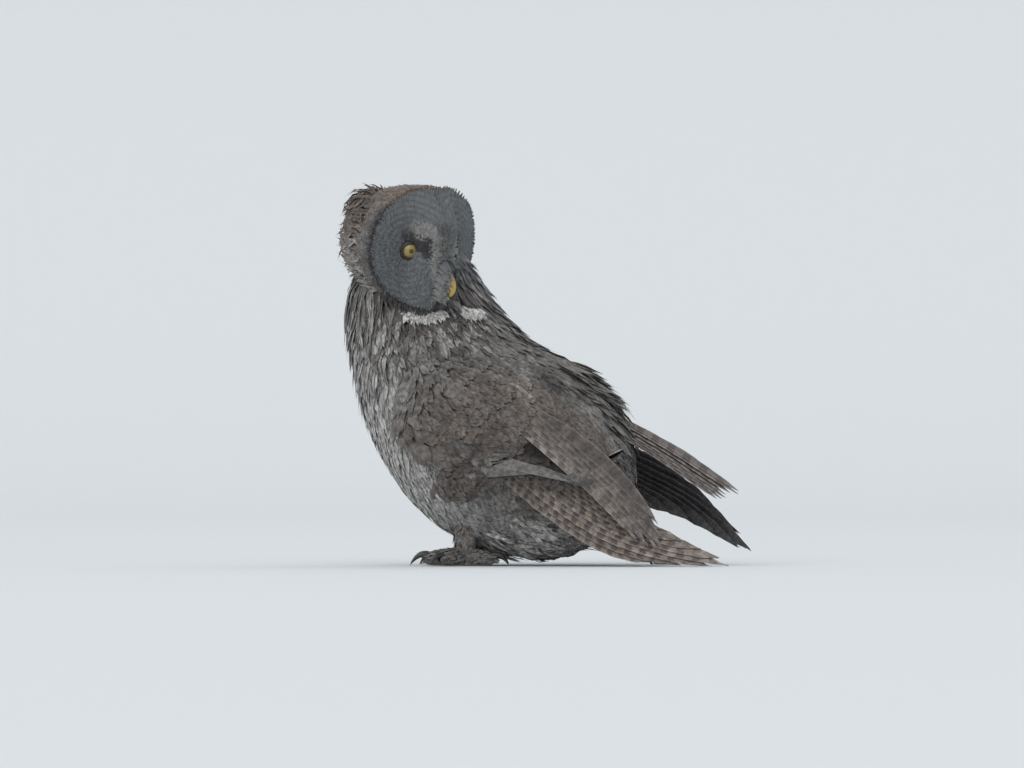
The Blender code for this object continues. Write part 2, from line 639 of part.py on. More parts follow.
def wing(name, side, fan):
    """Arm, three tiers of coverts and, on the near wing, the long tertials that lie over the primaries."""
    pieces = [wing_shell(name, side, 0.0, 12 if side < 0 else 10, 9 if side < 0 else 8)]
    tiers = ((0.10, 0.40, 5), (0.33, 0.66, 6), (0.56, 0.93, 6)) if side < 0 else ((0.2, 0.5, 4), (0.5, 0.9, 5))
    for u0, u1, count in tiers:
        for i in range(count):
            w = 0.10 + 0.78 * (i + 0.5) / count
            pieces.append(covert(u0, u1, w, w + 0.02, 26 if side < 0 else 30, 0.75, side))
    tertials, reach = (NEAR_TERTIALS, 1.0) if side < 0 else (FAR_TERTIALS, 0.66)
    for i in range(6):
        pieces.append(tertials.feather(0.0, reach - 0.075 * abs(i - 2.4), -side * (20 - 8 * i) * MM,
                                       -side * (15 - 7.5 * i) * MM, 19 * MM, (2.8 - 1.12 * i) * MM, 0.75 * MM))
    made = join(name, pieces)
    return carve(name, made, [torso_solid("t", GAP), fan.envelope("p", 1.0, NEAR_WIDTHS, NEAR_THICK, GAP)])


def floor_cutter():
    pts = np.array([(x, y, z) for x in (-1, 1) for y in (-1, 1) for z in (-1, 0)], float)
    pts = pts * np.array([0.5, 0.5, 0.1])
    tri = [(0, 1, 3), (0, 3, 2), (4, 6, 7), (4, 7, 5), (0, 4, 5), (0, 5, 1),
           (2, 3, 7), (2, 7, 6), (0, 2, 6), (0, 6, 4), (1, 5, 7), (1, 7, 3)]
    return mesh_object("floor", pts, tri)


wing_left = wing("wing_left", -1, NEAR)
wing_right = wing("wing_right", 1, FAR)
primaries_left = primaries("primaries_left", NEAR, 1)
primaries_left = carve("primaries_left", primaries_left, [torso_solid("t", GAP), floor_cutter()])
primaries_right = carve("primaries_right", primaries("primaries_right", FAR, -1), [torso_solid("t", GAP)])
tail = carve("tail", tail_vanes("tail"), [torso_solid("t", GAP)])


# Legs, feet and claws

FOOT_Y = 36 * MM
FOOT_X = -6 * MM
LEG_JOINT = 27 * MM
# For each toe: the way it points from the ankle (degrees from the way the bird heads), its length.
TOES = {"inner": (-24, 40), "middle": (6, 46), "outer": (46, 40), "hind": (168, 35)}


def leg_solid(name, side):
    path = np.array([(FOOT_X, side * FOOT_Y, LEG_JOINT + GAP), (FOOT_X, side * FOOT_Y, 33 * MM),
                     (FOOT_X + 2 * MM, side * FOOT_Y, 44 * MM), (FOOT_X + 8 * MM, side * (FOOT_Y + 2 * MM), 66 * MM),
                     (FOOT_X + 16 * MM, side * (FOOT_Y + 3 * MM), 92 * MM)])
    return tube(name, path_rings(path, fade(5, 12.5, 14, 16, 20, 22), 16, 1.0, (1, 0, 0)))


def toe_way(side, angle):
    turn = np.radians(angle)
    return np.array([-np.cos(turn), side * np.sin(turn), 0.0])


def toe_solid(side, angle, length, grow=0.0):
    way = toe_way(side, angle)
    along = np.linspace(-2 * MM, length * MM, 6)
    lift = fade(6, 9.6, 9.6, 9.4, 8.8, 8.2, 7.0)
    foot = np.array([FOOT_X, side * FOOT_Y, 0.0])
    path = foot + way * along[:, None] + np.array([0, 0, 1.0]) * lift[:, None]
    radii = fade(6, 10, 11, 10.2, 9.5, 8.8, 4.5) + grow
    return tube("toe", path_rings(path, radii, 10, 1.0))


def claw_solid(name, side, angle, length):
    way = toe_way(side, angle)
    start = np.array([FOOT_X, side * FOOT_Y, 0.0]) + way * (length - 7) * MM
    reach = np.array([0, 6, 12, 17, 21, 23.5]) * MM
    height = np.array([10.5, 12.5, 12.0, 9.0, 5.0, 1.2]) * MM
    path = start + way * reach[:, None] + np.array([0, 0, 1.0]) * height[:, None]
    return tube(name, path_rings(path, np.array([3.6, 3.4, 2.9, 2.2, 1.3, 0.4]) * MM, 6, 1.15))


def foot_solid(name, side):
    ankle = np.array([(FOOT_X, side * FOOT_Y, 3 * MM), (FOOT_X, side * FOOT_Y, 10 * MM), (FOOT_X, side * FOOT_Y, 19 * MM),
                      (FOOT_X, side * FOOT_Y, LEG_JOINT)])
    stub = tube("stub", path_rings(ankle, fade(4, 11, 14, 13.5, 12.5), 14, 1.0, (1, 0, 0)))
    foot = join(name, [stub] + [toe_solid(side, angle, length) for angle, length in TOES.values()])
    return carve(name, foot, [floor_cutter()])


for label, side in (("left", -1), ("right", 1)):
    carve("leg_" + label, leg_solid("leg_" + label, side), [torso_solid("t", GAP)])
    foot_solid("foot_" + label, side)
    for toe, (angle, length) in TOES.items():
        name = "claw_" + label + "_" + toe
        carve(name, claw_solid(name, side, angle, length), [toe_solid(side, angle, length, GAP)])


# Materials and the frame

COLOURS = {
    "eye": ("eye", (0.80, 0.62, 0.10), 0.15), "bill": ("bill", (0.62, 0.52, 0.20), 0.35),
    "claw": ("claw", (0.03, 0.03, 0.035), 0.35), "wing": ("wing_feathers", (0.20, 0.15, 0.12), 0.8),
    "prim": ("flight_feathers", (0.13, 0.09, 0.07), 0.7), "tail": ("tail_feathers", (0.16, 0.13, 0.12), 0.75),
    "head": ("face_feathers", (0.17, 0.17, 0.18), 0.85), "foot": ("leg_feathers", (0.30, 0.28, 0.26), 0.85),
    "leg_": ("leg_feathers", (0.30, 0.28, 0.26), 0.85)}


def material_for(name):
    """The Principled material of a node, chosen by how its name starts."""
    for start, (label, colour, rough) in COLOURS.items():
        if name.startswith(start):
            break
    else:
        label, colour, rough = "body_feathers", (0.24, 0.22, 0.21), 0.85
    made = bpy.data.materials.get(label)
    if made is None:
        made = bpy.data.materials.new(label)
        made.use_nodes = True
        shader = made.node_tree.nodes["Principled BSDF"]
        shader.inputs["Base Color"].default_value = (*colour, 1)
        shader.inputs["Roughness"].default_value = rough
    return made


nodes = [o for o in bpy.data.objects if o.type == "MESH"]
for node in nodes:
    node.data.materials.clear()
    node.data.materials.append(material_for(node.name))

bpy.context.view_layer.update()
corners = []
for node in nodes:
    points = np.empty(len(node.data.vertices) * 3)
    node.data.vertices.foreach_get("co", points)
    corners.append(points.reshape(-1, 3))
everything = np.concatenate(corners)
low, high = everything.min(0), everything.max(0)
shift = -np.array([(low[0] + high[0]) / 2, (low[1] + high[1]) / 2, low[2]])
for node, points in zip(nodes, corners):
    node.data.vertices.foreach_set("co", (points + shift).ravel())
    node.data.update()
print("shift", shift, "triangles", sum(len(n.data.polygons) for n in nodes))
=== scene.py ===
# %% [markdown]
# A great grey owl, life size, standing and looking back over its left shoulder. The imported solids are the
# fixed frame. This file lays a finer bird over them: one skin, and over it some thousands of separate
# feathers, each a thin curved vane with its own place, length, tint and pattern.

import math
from functools import partialmethod

import bpy
import numpy as np
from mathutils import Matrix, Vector


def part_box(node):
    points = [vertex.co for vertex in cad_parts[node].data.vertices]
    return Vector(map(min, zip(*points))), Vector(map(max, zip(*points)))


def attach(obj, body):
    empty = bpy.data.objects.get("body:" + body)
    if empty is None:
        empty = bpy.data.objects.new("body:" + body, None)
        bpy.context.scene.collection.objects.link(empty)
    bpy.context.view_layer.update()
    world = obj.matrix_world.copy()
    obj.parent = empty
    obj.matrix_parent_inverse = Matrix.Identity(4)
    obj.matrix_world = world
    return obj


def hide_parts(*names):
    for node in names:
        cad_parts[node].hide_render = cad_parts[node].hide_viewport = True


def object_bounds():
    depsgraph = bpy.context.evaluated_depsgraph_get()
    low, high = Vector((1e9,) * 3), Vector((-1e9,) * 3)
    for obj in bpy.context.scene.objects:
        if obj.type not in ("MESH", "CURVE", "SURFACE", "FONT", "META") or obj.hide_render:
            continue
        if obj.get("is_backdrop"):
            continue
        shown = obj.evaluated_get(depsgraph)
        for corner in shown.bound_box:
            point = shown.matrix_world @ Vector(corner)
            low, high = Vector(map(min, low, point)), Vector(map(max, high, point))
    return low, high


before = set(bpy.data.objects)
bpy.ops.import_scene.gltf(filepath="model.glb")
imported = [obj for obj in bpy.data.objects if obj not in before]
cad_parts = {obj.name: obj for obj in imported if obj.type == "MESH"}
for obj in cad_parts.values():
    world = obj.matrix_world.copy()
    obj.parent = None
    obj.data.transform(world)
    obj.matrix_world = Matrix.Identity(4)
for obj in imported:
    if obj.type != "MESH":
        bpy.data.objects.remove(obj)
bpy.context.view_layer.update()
MM = 0.001
DENSITY = 1.0
THIN = math.sqrt(DENSITY)

# %% [markdown]
# The photograph was taken level, with a long lens from far off, so lines hardly converge: 1 pixel of its
# 1024 is 1.15 mm at the bird. A long lens 12 m away gives the same flat drawing.

# %% Camera
MM_PER_PIXEL = 1.15
FAR_OFF = 12.0
EYE_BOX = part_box("eye_right")
SHIFT = np.array([-0.08642103, 0.00088817, 0.0])


def place(name, data):
    """A new object of the scene that holds the data."""
    made = bpy.data.objects.new(name, data)
    bpy.context.scene.collection.objects.link(made)
    return made


camera_data = bpy.data.cameras.new("camera")
camera = place("camera", camera_data)
camera_data.sensor_width = 36.0
camera_data.lens = 36.0 * FAR_OFF / (1024 * MM_PER_PIXEL * MM)
camera_data.clip_end = 60
AIM = Vector((48.3 * MM + SHIFT[0], SHIFT[1], 208.2 * MM + SHIFT[2]))
camera.location = AIM + Vector((0, -FAR_OFF, 0.0))
camera.rotation_euler = (AIM - camera.location).to_track_quat("-Z", "Y").to_euler()
bpy.context.scene.camera = camera
print("right eye of the frame", [round((a + b) / 2, 4) for a, b in zip(*EYE_BOX)])

# %% [markdown]
# Every surface of the bird is a formula in its own measuring frame: x back from the feet, y to its right,
# z up. SHIFT leads from there to the frame of the row. The trunk is given by a breast line, a back line and
# a half breadth at eight stations from the head to the rump, the same sizes as the solids use.

# %% Sizes of the trunk and the head
BREAST = [(-134, 340), (-143, 302), (-136, 234), (-117, 160), (-75, 84), (-5, 27), (80, 9), (129, 22)]
BACK = [(4, 352), (28, 303), (67, 259), (118, 229), (156, 194), (181, 155), (191, 105), (189, 75)]
BREAST, BACK = np.array(BREAST) * MM, np.array(BACK) * MM
HALF = np.array([30, 39, 76, 90, 92, 81, 58, 38]) * MM
RIM = np.array([-55, -31, 366]) * MM
FACE = np.array([0.656, -0.755, -0.20])
FACE = FACE / np.linalg.norm(FACE)
SIDE = np.array([-0.755, -0.656, 0.0])
SIDE = SIDE / np.linalg.norm(SIDE)
CROWN = np.cross(FACE, SIDE)
CROWN = CROWN if CROWN[2] > 0 else -CROWN
UP = np.array([0, 0, 1.0])
DISC_HALF, DISC_TALL = 79 * MM, 70.5 * MM
RIDGE, CHEEK, SKULL = 24 * MM, 22 * MM, 92 * MM
EYE_R = 11.5 * MM
EYE_SIDE, EYE_UP, EYE_OUT = 30 * MM, -2 * MM, 2.0 * MM
NAPE = np.array([-110, -8, 403]) * MM
NAPE_AXES = np.array([32, 42, 33]) * MM
WING_OUT = 104 * MM


def unit(v):
    """Vectors of v scaled to length one."""
    return v / np.maximum(np.linalg.norm(v, axis=-1, keepdims=True), 1e-12)


def smooth(x, low, high):
    """Rises from 0 at low to 1 at high with no corner."""
    t = np.clip((x - low) / (high - low), 0, 1)
    return t * t * (3 - 2 * t)


def spread(*values):
    """The values as float arrays of one common shape."""
    return np.broadcast_arrays(*(np.asarray(v, float) for v in values))


def between(at, *lists):
    """Rows of each list at row numbers with fractions, read on straight lines."""
    low = np.minimum(at.astype(int), len(lists[0]) - 2)
    part = at - low
    return [k[low] * (1 - p) + k[low + 1] * p for k in lists
            for p in [part if k.ndim == 1 else part[..., None]]]


def spline(table, at):
    """Catmull-Rom through the rows of table, read at station numbers; the ends run on straight."""
    table, at = np.asarray(table, float), np.asarray(at, float)
    last = len(table) - 1
    low = np.clip(np.floor(at).astype(int), 0, last - 1)
    t, start, end = at - low, low == 0, low == last - 1
    p1, p2 = table[low], table[low + 1]
    if table.ndim > 1:
        t, start, end = t[..., None], start[..., None], end[..., None]
    p0 = np.where(start, 2 * p1 - p2, table[np.maximum(low - 1, 0)])
    p3 = np.where(end, 2 * p2 - p1, table[np.minimum(low + 2, last)])
    return 0.5 * (2 * p1 + (p2 - p0) * t + (2 * p0 - 5 * p1 + 4 * p2 - p3) * t ** 2
                  + (3 * p1 - p0 - 3 * p2 + p3) * t ** 3)


# %% [markdown]
# A surface function takes two numbers and a height above the skin. Feathers are laid by asking it for the
# points under each feather, so that a long feather follows the body as a real one does.

# %% Surfaces
def trunk(s, a, h=0.0):
    """Trunk at station s and angle a round it: 0 on the back, pi on the breast, positive to the right."""
    s, a = spread(s, a)
    low, high, half = spline(BREAST, s), spline(BACK, s), spline(HALF, s)
    reach = np.linalg.norm(high - low, axis=-1) / 2
    axis = (high - low) / (2 * reach[..., None])
    flat = (low + high) / 2 + axis * ((reach + h) * np.cos(a))[..., None]
    y = (half + h) * np.sin(a) * (1 - 0.10 * np.cos(a))
    return np.stack([flat[..., 0], y, flat[..., 1]], -1)


def disc_depth(l, v):
    """How far the face stands out of its rim plane: a flat-topped ridge down the middle, cheeks that fall to
    the rim as 1 - |u| ** 1.5, and a crown that leans back as w squared."""
    u, w = l / DISC_HALF, v / DISC_TALL
    ridge = RIDGE * np.exp(-(np.abs(l) / (27 * MM)) ** 6)
    ridge = ridge * (1 - 0.8 * smooth(w, 0.3, 1.0)) * (1 - 0.2 * smooth(-w, 0.7, 1.0))
    return ridge + CHEEK * (1 - np.abs(u) ** 1.5) - np.where(w > 0, 20, 4) * MM * w * w


def rim_square(l, v):
    """The far upper corner of the disc is a little squarer than an ellipse."""
    around = np.arctan2(v / DISC_TALL, l / DISC_HALF)
    return 1 + 0.11 * smooth(v, 0, 0.5 * DISC_TALL) * np.sin(2 * around) ** 2 * (l < 0)


def from_rim(l, v, d):
    """A point l across, v up and d out of the rim plane."""
    return RIM + l[..., None] * SIDE + v[..., None] * CROWN + d[..., None] * FACE


def on_face(l, v, h=0.0):
    """A point of the face from its place across and up, h out of it."""
    return from_rim(l, v, disc_depth(l, v) + h)


def skull(t, turn, h=0.0):
    """Back of the head: t from 0 at the rim to 1 at its hindmost point, turn round the way it faces."""
    t, turn = spread(t, turn)
    l, v = DISC_HALF * np.cos(turn), DISC_TALL * np.sin(turn)
    k = rim_square(l, v)
    l, v = l * k, v * k
    edge = disc_depth(l, v) + 2.5 * MM * (1 - smooth(t, 0, 0.1))
    bend = t * np.pi / 2
    round_in = np.maximum(np.cos(bend), 0.0)
    shrink = round_in ** 0.72 * (1 + 0.02 * np.sin(2 * bend)) * (1 + h / DISC_HALF)
    return from_rim(l * shrink, v * shrink, edge * round_in ** 1.5 - (SKULL + h) * np.sin(bend))


def arm(u, w, h=0.0):
    """Outer side of the left wing's arm: u runs back from the wrist, w up from its lower edge."""
    u, w = spread(u, w)
    h = np.broadcast_to(np.asarray(h, float), u.shape)
    lower_s, lower_a, upper_s, upper_a = (np.interp(u, [0, 0.12, 0.3, 0.5, 0.72, 1.0], row) for row in (
        [2.35, 3.30, 3.80, 4.22, 4.35, 5.50], [118, 140, 121, 107, 84, 68],
        [2.1, 2.35, 2.9, 3.4, 4.1, 5.3], [100, 66, 48, 42, 39, 37]))
    s = lower_s + (upper_s - lower_s) * w
    a = np.radians(lower_a + (upper_a - lower_a) * w)
    rise = (np.clip(np.sin(np.pi * np.clip(u * 0.94 + 0.06, 0, 1)), 0, 1) ** 0.5
            * np.clip(np.sin(np.pi * np.clip(0.10 + 0.82 * w, 0, 1)), 0, 1) ** 0.6)
    base = trunk(s, a)
    away = unit(base - trunk(s, a, -0.01))
    outer = base + away * (2.5 * MM + 13 * MM * rise)[..., None]
    straight = smooth(u, 0.15, 0.6) * (1 - smooth(w, 0.35, 0.95))
    outer[..., 1] += straight * np.maximum(WING_OUT - outer[..., 1], 0)
    away = unit(away + straight[..., None] * np.array([0, 1.2, 0]))
    return (outer + away * h[..., None]) * [1, -1, 1]


def eye_place(side):
    """Centre of an eyeball, side +1 for the bird's right."""
    return on_face(np.array(side * EYE_SIDE), np.array(EYE_UP), -EYE_R + EYE_OUT)


print("shift to the frame of the row", SHIFT.round(5))

# %% [markdown]
# One mesh builder serves every coat piece. A feather is a small grid: rows run from root to tip, columns
# across. Its outline is a width profile, its surface bows down to both edges, and its edge is nicked at
# random so that no two are alike. All the feathers of a piece are worked out together as one array.

# %% The feather builder
ROUND = ((0, 0.3), (0.12, 0.7), (0.35, 0.95), (0.6, 1.0), (0.8, 0.9), (0.93, 0.66), (1.0, 0.36))
LOOSE = ((0, 0.35), (0.2, 0.8), (0.45, 1.0), (0.7, 0.82), (0.88, 0.5), (1.0, 0.2))
QUILL = ((0, 0.25), (0.1, 0.7), (0.4, 1.0), (0.8, 0.95), (0.94, 0.66), (1.0, 0.16))


def row_places(rows):
    """Row places from root to tip, closer together near the tip where the outline turns."""
    return 1 - (1 - np.linspace(0, 1, rows)) ** 1.25


def grow(centre, out, width, outline=LOOSE, columns=5, camber=0.06, lean=0.0, ragged=0.10, fray=0.10, seed=0):
    """Feather grids (F, R, C, 3) from centre lines: centre and out are (F, R, 3), width is (F,).

    Each point is centre + across * half width * x + out * (camber * (1 - x * x) + lean * x) * width, where x
    runs from -1 to 1. The edges are nicked at random, and near the tip each column is drawn out or back by
    its own part of the length, which frays the end.
    """
    picks = np.random.default_rng(seed)
    count, rows, _ = centre.shape
    t = row_places(rows)
    along = unit(np.gradient(centre, axis=1))
    across = unit(np.cross(out, along))
    out = np.cross(along, across)
    x = np.linspace(-1, 1, columns)
    half = width[:, None] / 2 * np.interp(t, *np.array(outline).T)[None, :]
    nick = 1 + ragged * picks.uniform(-1, 0.6, (count, rows, columns)) * np.abs(x) ** 1.5
    long = np.linalg.norm(np.diff(centre, axis=1), axis=-1).sum(1)[:, None, None]
    tooth = picks.uniform(-1.0, 0.5, (count, 1, columns)) - 0.8 * x ** 2
    slip = long * fray * tooth * t[None, :, None] ** 5
    lean = np.broadcast_to(np.asarray(lean, float), (count,))
    rise = (camber * (1 - x ** 2))[None, None] + lean[:, None, None] * x[None, None]
    return (centre[:, :, None] + across[:, :, None] * (half[:, :, None] * x * nick)[..., None]
            + out[:, :, None] * (rise * half[:, :, None] * 2)[..., None]
            + along[:, :, None] * slip[..., None])


# Broad lights and darks of the near side, as (x, z, radius in mm, strength): below 0 darker, above 0 lighter.
# The first four are painted shadow in the gap under the coverts' lower edge, the next three painted shade in
# a hollow of the scapulars, and the four from x -40 to 34 mm at z 130 to 145 mm painted shadow under the
# wing's lower edge. The three pale ones at x 57 to 72 mm are the bird's own pale scapular patch; the others
# only lighten or darken.
PATCHES_OF_COLOUR_AND_SHADE = ((80, 131, 14, -0.85), (64, 133, 9, -0.5), (98, 120, 11, -0.8), (112, 106, 8, -0.5),
           (86, 219, 8, -0.45), (91, 211, 13, -0.6), (99, 201, 10, -0.45), (168, 140, 14, 0.6),
           (65, 196, 15, 0.38), (57, 212, 11, 0.3), (72, 178, 12, 0.25), (-18, 137, 14, -0.35),
           (8, 131, 14, -0.35), (34, 130, 13, -0.35), (-40, 145, 12, -0.3), (120, 195, 15, -0.35),
           (104, 206, 10, -0.3), (60, 70, 30, -0.15))


def tone_and_painted_shade(points):
    """How much lighter or darker a point is than its feather's own colour: 1 leaves it as it is. The patches
    give painted shadow and shade as well as the bird's own pale patch.
    """
    total = np.ones(points.shape[:-1])
    near = 1 - smooth(points[..., 1] / MM, -50, -25)
    for x, z, radius, strength in PATCHES_OF_COLOUR_AND_SHADE:
        far = np.hypot(points[..., 0] - x * MM, points[..., 2] - z * MM) / (radius * MM)
        total = total * (1 + strength * (1 - smooth(far, 0.35, 1.25)) * near)
    return total


def fill(part, label, values, kind=np.float32):
    """Put a whole array into one property of a mesh's parts."""
    part.foreach_set(label, np.asarray(values).astype(kind).ravel())


def dress(mesh, uv, vane, ground, mark, design, ring, shade):
    """Store the bake map at the corners and, at the points, all that the plumage shader reads."""
    fill(mesh.uv_layers.new(name="OFBake").data, "uv", uv)
    fill(mesh.attributes.new("vane", "FLOAT_VECTOR", "POINT").data, "vector", vane)
    for label, values in (("ground", ground), ("mark", mark), ("design", design)):
        values = np.concatenate([values, np.ones((len(values), 4 - values.shape[1]))], 1)
        fill(mesh.attributes.new(label, "FLOAT_COLOR", "POINT").data, "color", values)
    for label, values in (("ring", ring), ("tone_and_painted_shade", shade)):
        fill(mesh.attributes.new(label, "FLOAT", "POINT").data, "value", values)


class Coat:
    """Collects feather grids of one piece with their attributes, then makes the mesh."""

    def __init__(self, name, toned=True):
        self.name, self.batches, self.toned = name, [], toned

    def add(self, points, ground, mark, design, root, seed=0, ring=None, rank=None):
        """points (F, R, C, 3); ground and mark (F, 3) colours; design (F, 4) pattern numbers; root (F, 2);
        ring (F, R, C) counts the rings of the face, where there are any."""
        shape = list(points.shape[:3])
        picks = np.random.default_rng(seed + 99)
        t = np.broadcast_to(row_places(shape[1])[None, :, None], shape)
        x = np.broadcast_to(np.linspace(-1, 1, shape[2]), shape)
        rank = picks.uniform(0, 1, shape[0]) if rank is None else rank
        vane = np.stack([t, x, np.broadcast_to(rank[:, None, None], shape)], -1)
        uv = np.clip(root, 0.004, 0.996)[:, None, None] + 0.0015 * np.stack([x, 2 * t - 1], -1)
        stored = [np.broadcast_to(v[:, None, None], shape + [v.shape[1]]) for v in (ground, mark, design)]
        ring = np.zeros(shape) if ring is None else ring
        # The near-side patches go into the stored tone: painted shadow and shade, with the bird's own pale
        # patch.
        shade = tone_and_painted_shade(points) if self.toned else np.ones(shape)
        self.batches.append([points, uv, vane, *stored, ring[..., None], shade[..., None]])

    def make(self, material):
        """One mesh of closed vanes: the grid above, a flat strip below from edge to edge, and two small ends.

        The strip has its own copies of the edge points, so that the upper side shades as a thin sheet.
        """
        parts, quads, ends, base = [[] for _ in range(8)], [], [], 0
        for batch in self.batches:
            count, rows, columns = batch[0].shape[:3]
            for held, v in zip(parts, batch):
                held.append(np.concatenate([v, v[:, :, [0, -1]]], 2).reshape(-1, v.shape[-1]))
            grid = np.arange(count * rows * (columns + 2)).reshape(count, rows, columns + 2) + base
            base += grid.size
            top, low = grid[:, :, :columns], grid[:, :, columns:]
            quads.append([top[:, :-1, :-1], top[:, :-1, 1:], top[:, 1:, 1:], top[:, 1:, :-1]])
            quads.append([low[:, :-1, 1], low[:, :-1, 0], low[:, 1:, 0], low[:, 1:, 1]])
            for row, order in ((0, [0, 2, 1]), (-1, [0, 1, 2])):
                ends += [np.stack([top[:, row, 0], top[:, row, i], top[:, row, i + 1]], -1)[:, order]
                         for i in range(1, columns - 1)]
        quads = np.concatenate([np.stack(four, -1).reshape(-1, 4) for four in quads])
        ends = np.concatenate(ends)
        points, uv, *stored = (np.concatenate(k) for k in parts)
        corners = np.concatenate([quads.ravel(), ends.ravel()])
        sizes = np.concatenate([np.full(len(quads), 4), np.full(len(ends), 3)])
        mesh = bpy.data.meshes.new(self.name)
        mesh.vertices.add(len(points))
        mesh.loops.add(len(corners))
        mesh.polygons.add(len(sizes))
        fill(mesh.vertices, "co", points + SHIFT)
        fill(mesh.loops, "vertex_index", corners, np.int32)
        fill(mesh.polygons, "loop_start", np.cumsum(sizes) - sizes, np.int32)
        fill(mesh.polygons, "loop_total", sizes, np.int32)
        fill(mesh.polygons, "use_smooth", np.ones(len(sizes)), bool)
        mesh.update(calc_edges=True)
        dress(mesh, uv[corners], *stored)
        mesh.materials.append(material)
        piece = place(self.name, mesh)
        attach(piece, "root")
        feathers = sum(len(b[0]) for b in self.batches)
        print(self.name, feathers, "feathers", 2 * len(quads) + len(ends), "triangles")


def lay(surface, a0, b0, a1, b1, heights, rows=7, mirror=False):
    """Centre lines (F, R, 3) and outward directions of feathers from (a0, b0) to (a1, b1) on a surface.

    heights (F, H) are the heights above the skin from root to tip, spread evenly along the feather.
    """
    t = row_places(rows)
    a = a0[:, None] + (a1 - a0)[:, None] * t
    b = b0[:, None] + (b1 - b0)[:, None] * t
    at = t * (heights.shape[1] - 1)
    low = np.minimum(at.astype(int), heights.shape[1] - 2)
    h = heights[:, low] + (heights[:, low + 1] - heights[:, low]) * (at - low)
    base = surface(a, b)
    out = unit(surface(a, b, 3 * MM) - base)
    flip = np.array([1, -1, 1]) if mirror else np.ones(3)
    return (base + out * h[..., None]) * flip, out * flip


# %% [markdown]
# Feather colour is one shader group, used by every material. It reads three numbers stored on each vane:
# how far along it a point lies, how far across, and a random rank. From them it draws a dark stripe down
# the shaft, cross bars, a pale fringe and fine barbs. Two stored colours, the ground and the mark, say what
# it mixes, so that a breast feather and a tail feather differ only in stored values.

# %% The plumage shader group
class Tree:
    """Adds nodes to one tree. Each call takes sockets, numbers or colours and gives the node's output."""

    def __init__(self, tree):
        self.tree = tree

    def feed(self, slot, given):
        """Give an input a number, a colour or a link."""
        if isinstance(given, (int, float)):
            slot.default_value = given
        elif isinstance(given, tuple):
            slot.default_value = (*given, 1)
        else:
            self.tree.links.new(given, slot)

    def node(self, kind, inputs, settings=None, output=0):
        """A node with its inputs fed by number or name."""
        made = self.tree.nodes.new("ShaderNode" + kind)
        for label, value in (settings or {}).items():
            setattr(made, label, value)
        for label, given in inputs.items():
            self.feed(made.inputs[label], given)
        return made.outputs[output]

    def maths(self, operation, *values, clamp=False):
        """One Math node; the values feed its inputs in order."""
        return self.node("Math", dict(enumerate(values)), {"operation": operation, "use_clamp": clamp})

    plus = partialmethod(maths, "ADD")
    minus = partialmethod(maths, "SUBTRACT")
    times = partialmethod(maths, "MULTIPLY")
    scaled = partialmethod(maths, "MULTIPLY_ADD")
    most = partialmethod(maths, "MAXIMUM")
    sine = partialmethod(maths, "SINE")

    def ramp(self, value, low, high):
        """0 below low, 1 above high, smooth between."""
        return self.node("MapRange", {0: value, 1: low, 2: high}, {"interpolation_type": "SMOOTHSTEP"})

    def blend(self, factor, a, b):
        """Mix of two colours: a * (1 - factor) + b * factor."""
        return self.node("Mix", {0: factor, 6: a, 7: b}, {"data_type": "RGBA"}, 2)

    def noise(self, vector, scale, detail=2.0, rough=0.5):
        """Noise round 0.5 at the place vector * scale."""
        return self.node("TexNoise", {"Vector": vector, "Scale": scale, "Detail": detail, "Roughness": rough})

    def read(self, name, output="Color"):
        """A stored attribute of the mesh, by its name."""
        return self.node("Attribute", {}, {"attribute_name": name}, output)

    def bump(self, height, strength, distance):
        """The normal, tilted by the slope of height * distance."""
        return self.node("Bump", {"Height": height, "Strength": strength, "Distance": distance})

    def shade(self, inputs):
        """Feed the Principled shader."""
        for label, given in inputs.items():
            self.feed(self.tree.nodes["Principled BSDF"].inputs[label], given)


def new_material(name):
    """A material and the tree that makes its nodes."""
    material = bpy.data.materials.new(name)
    material.use_nodes = True
    return material, Tree(material.node_tree)


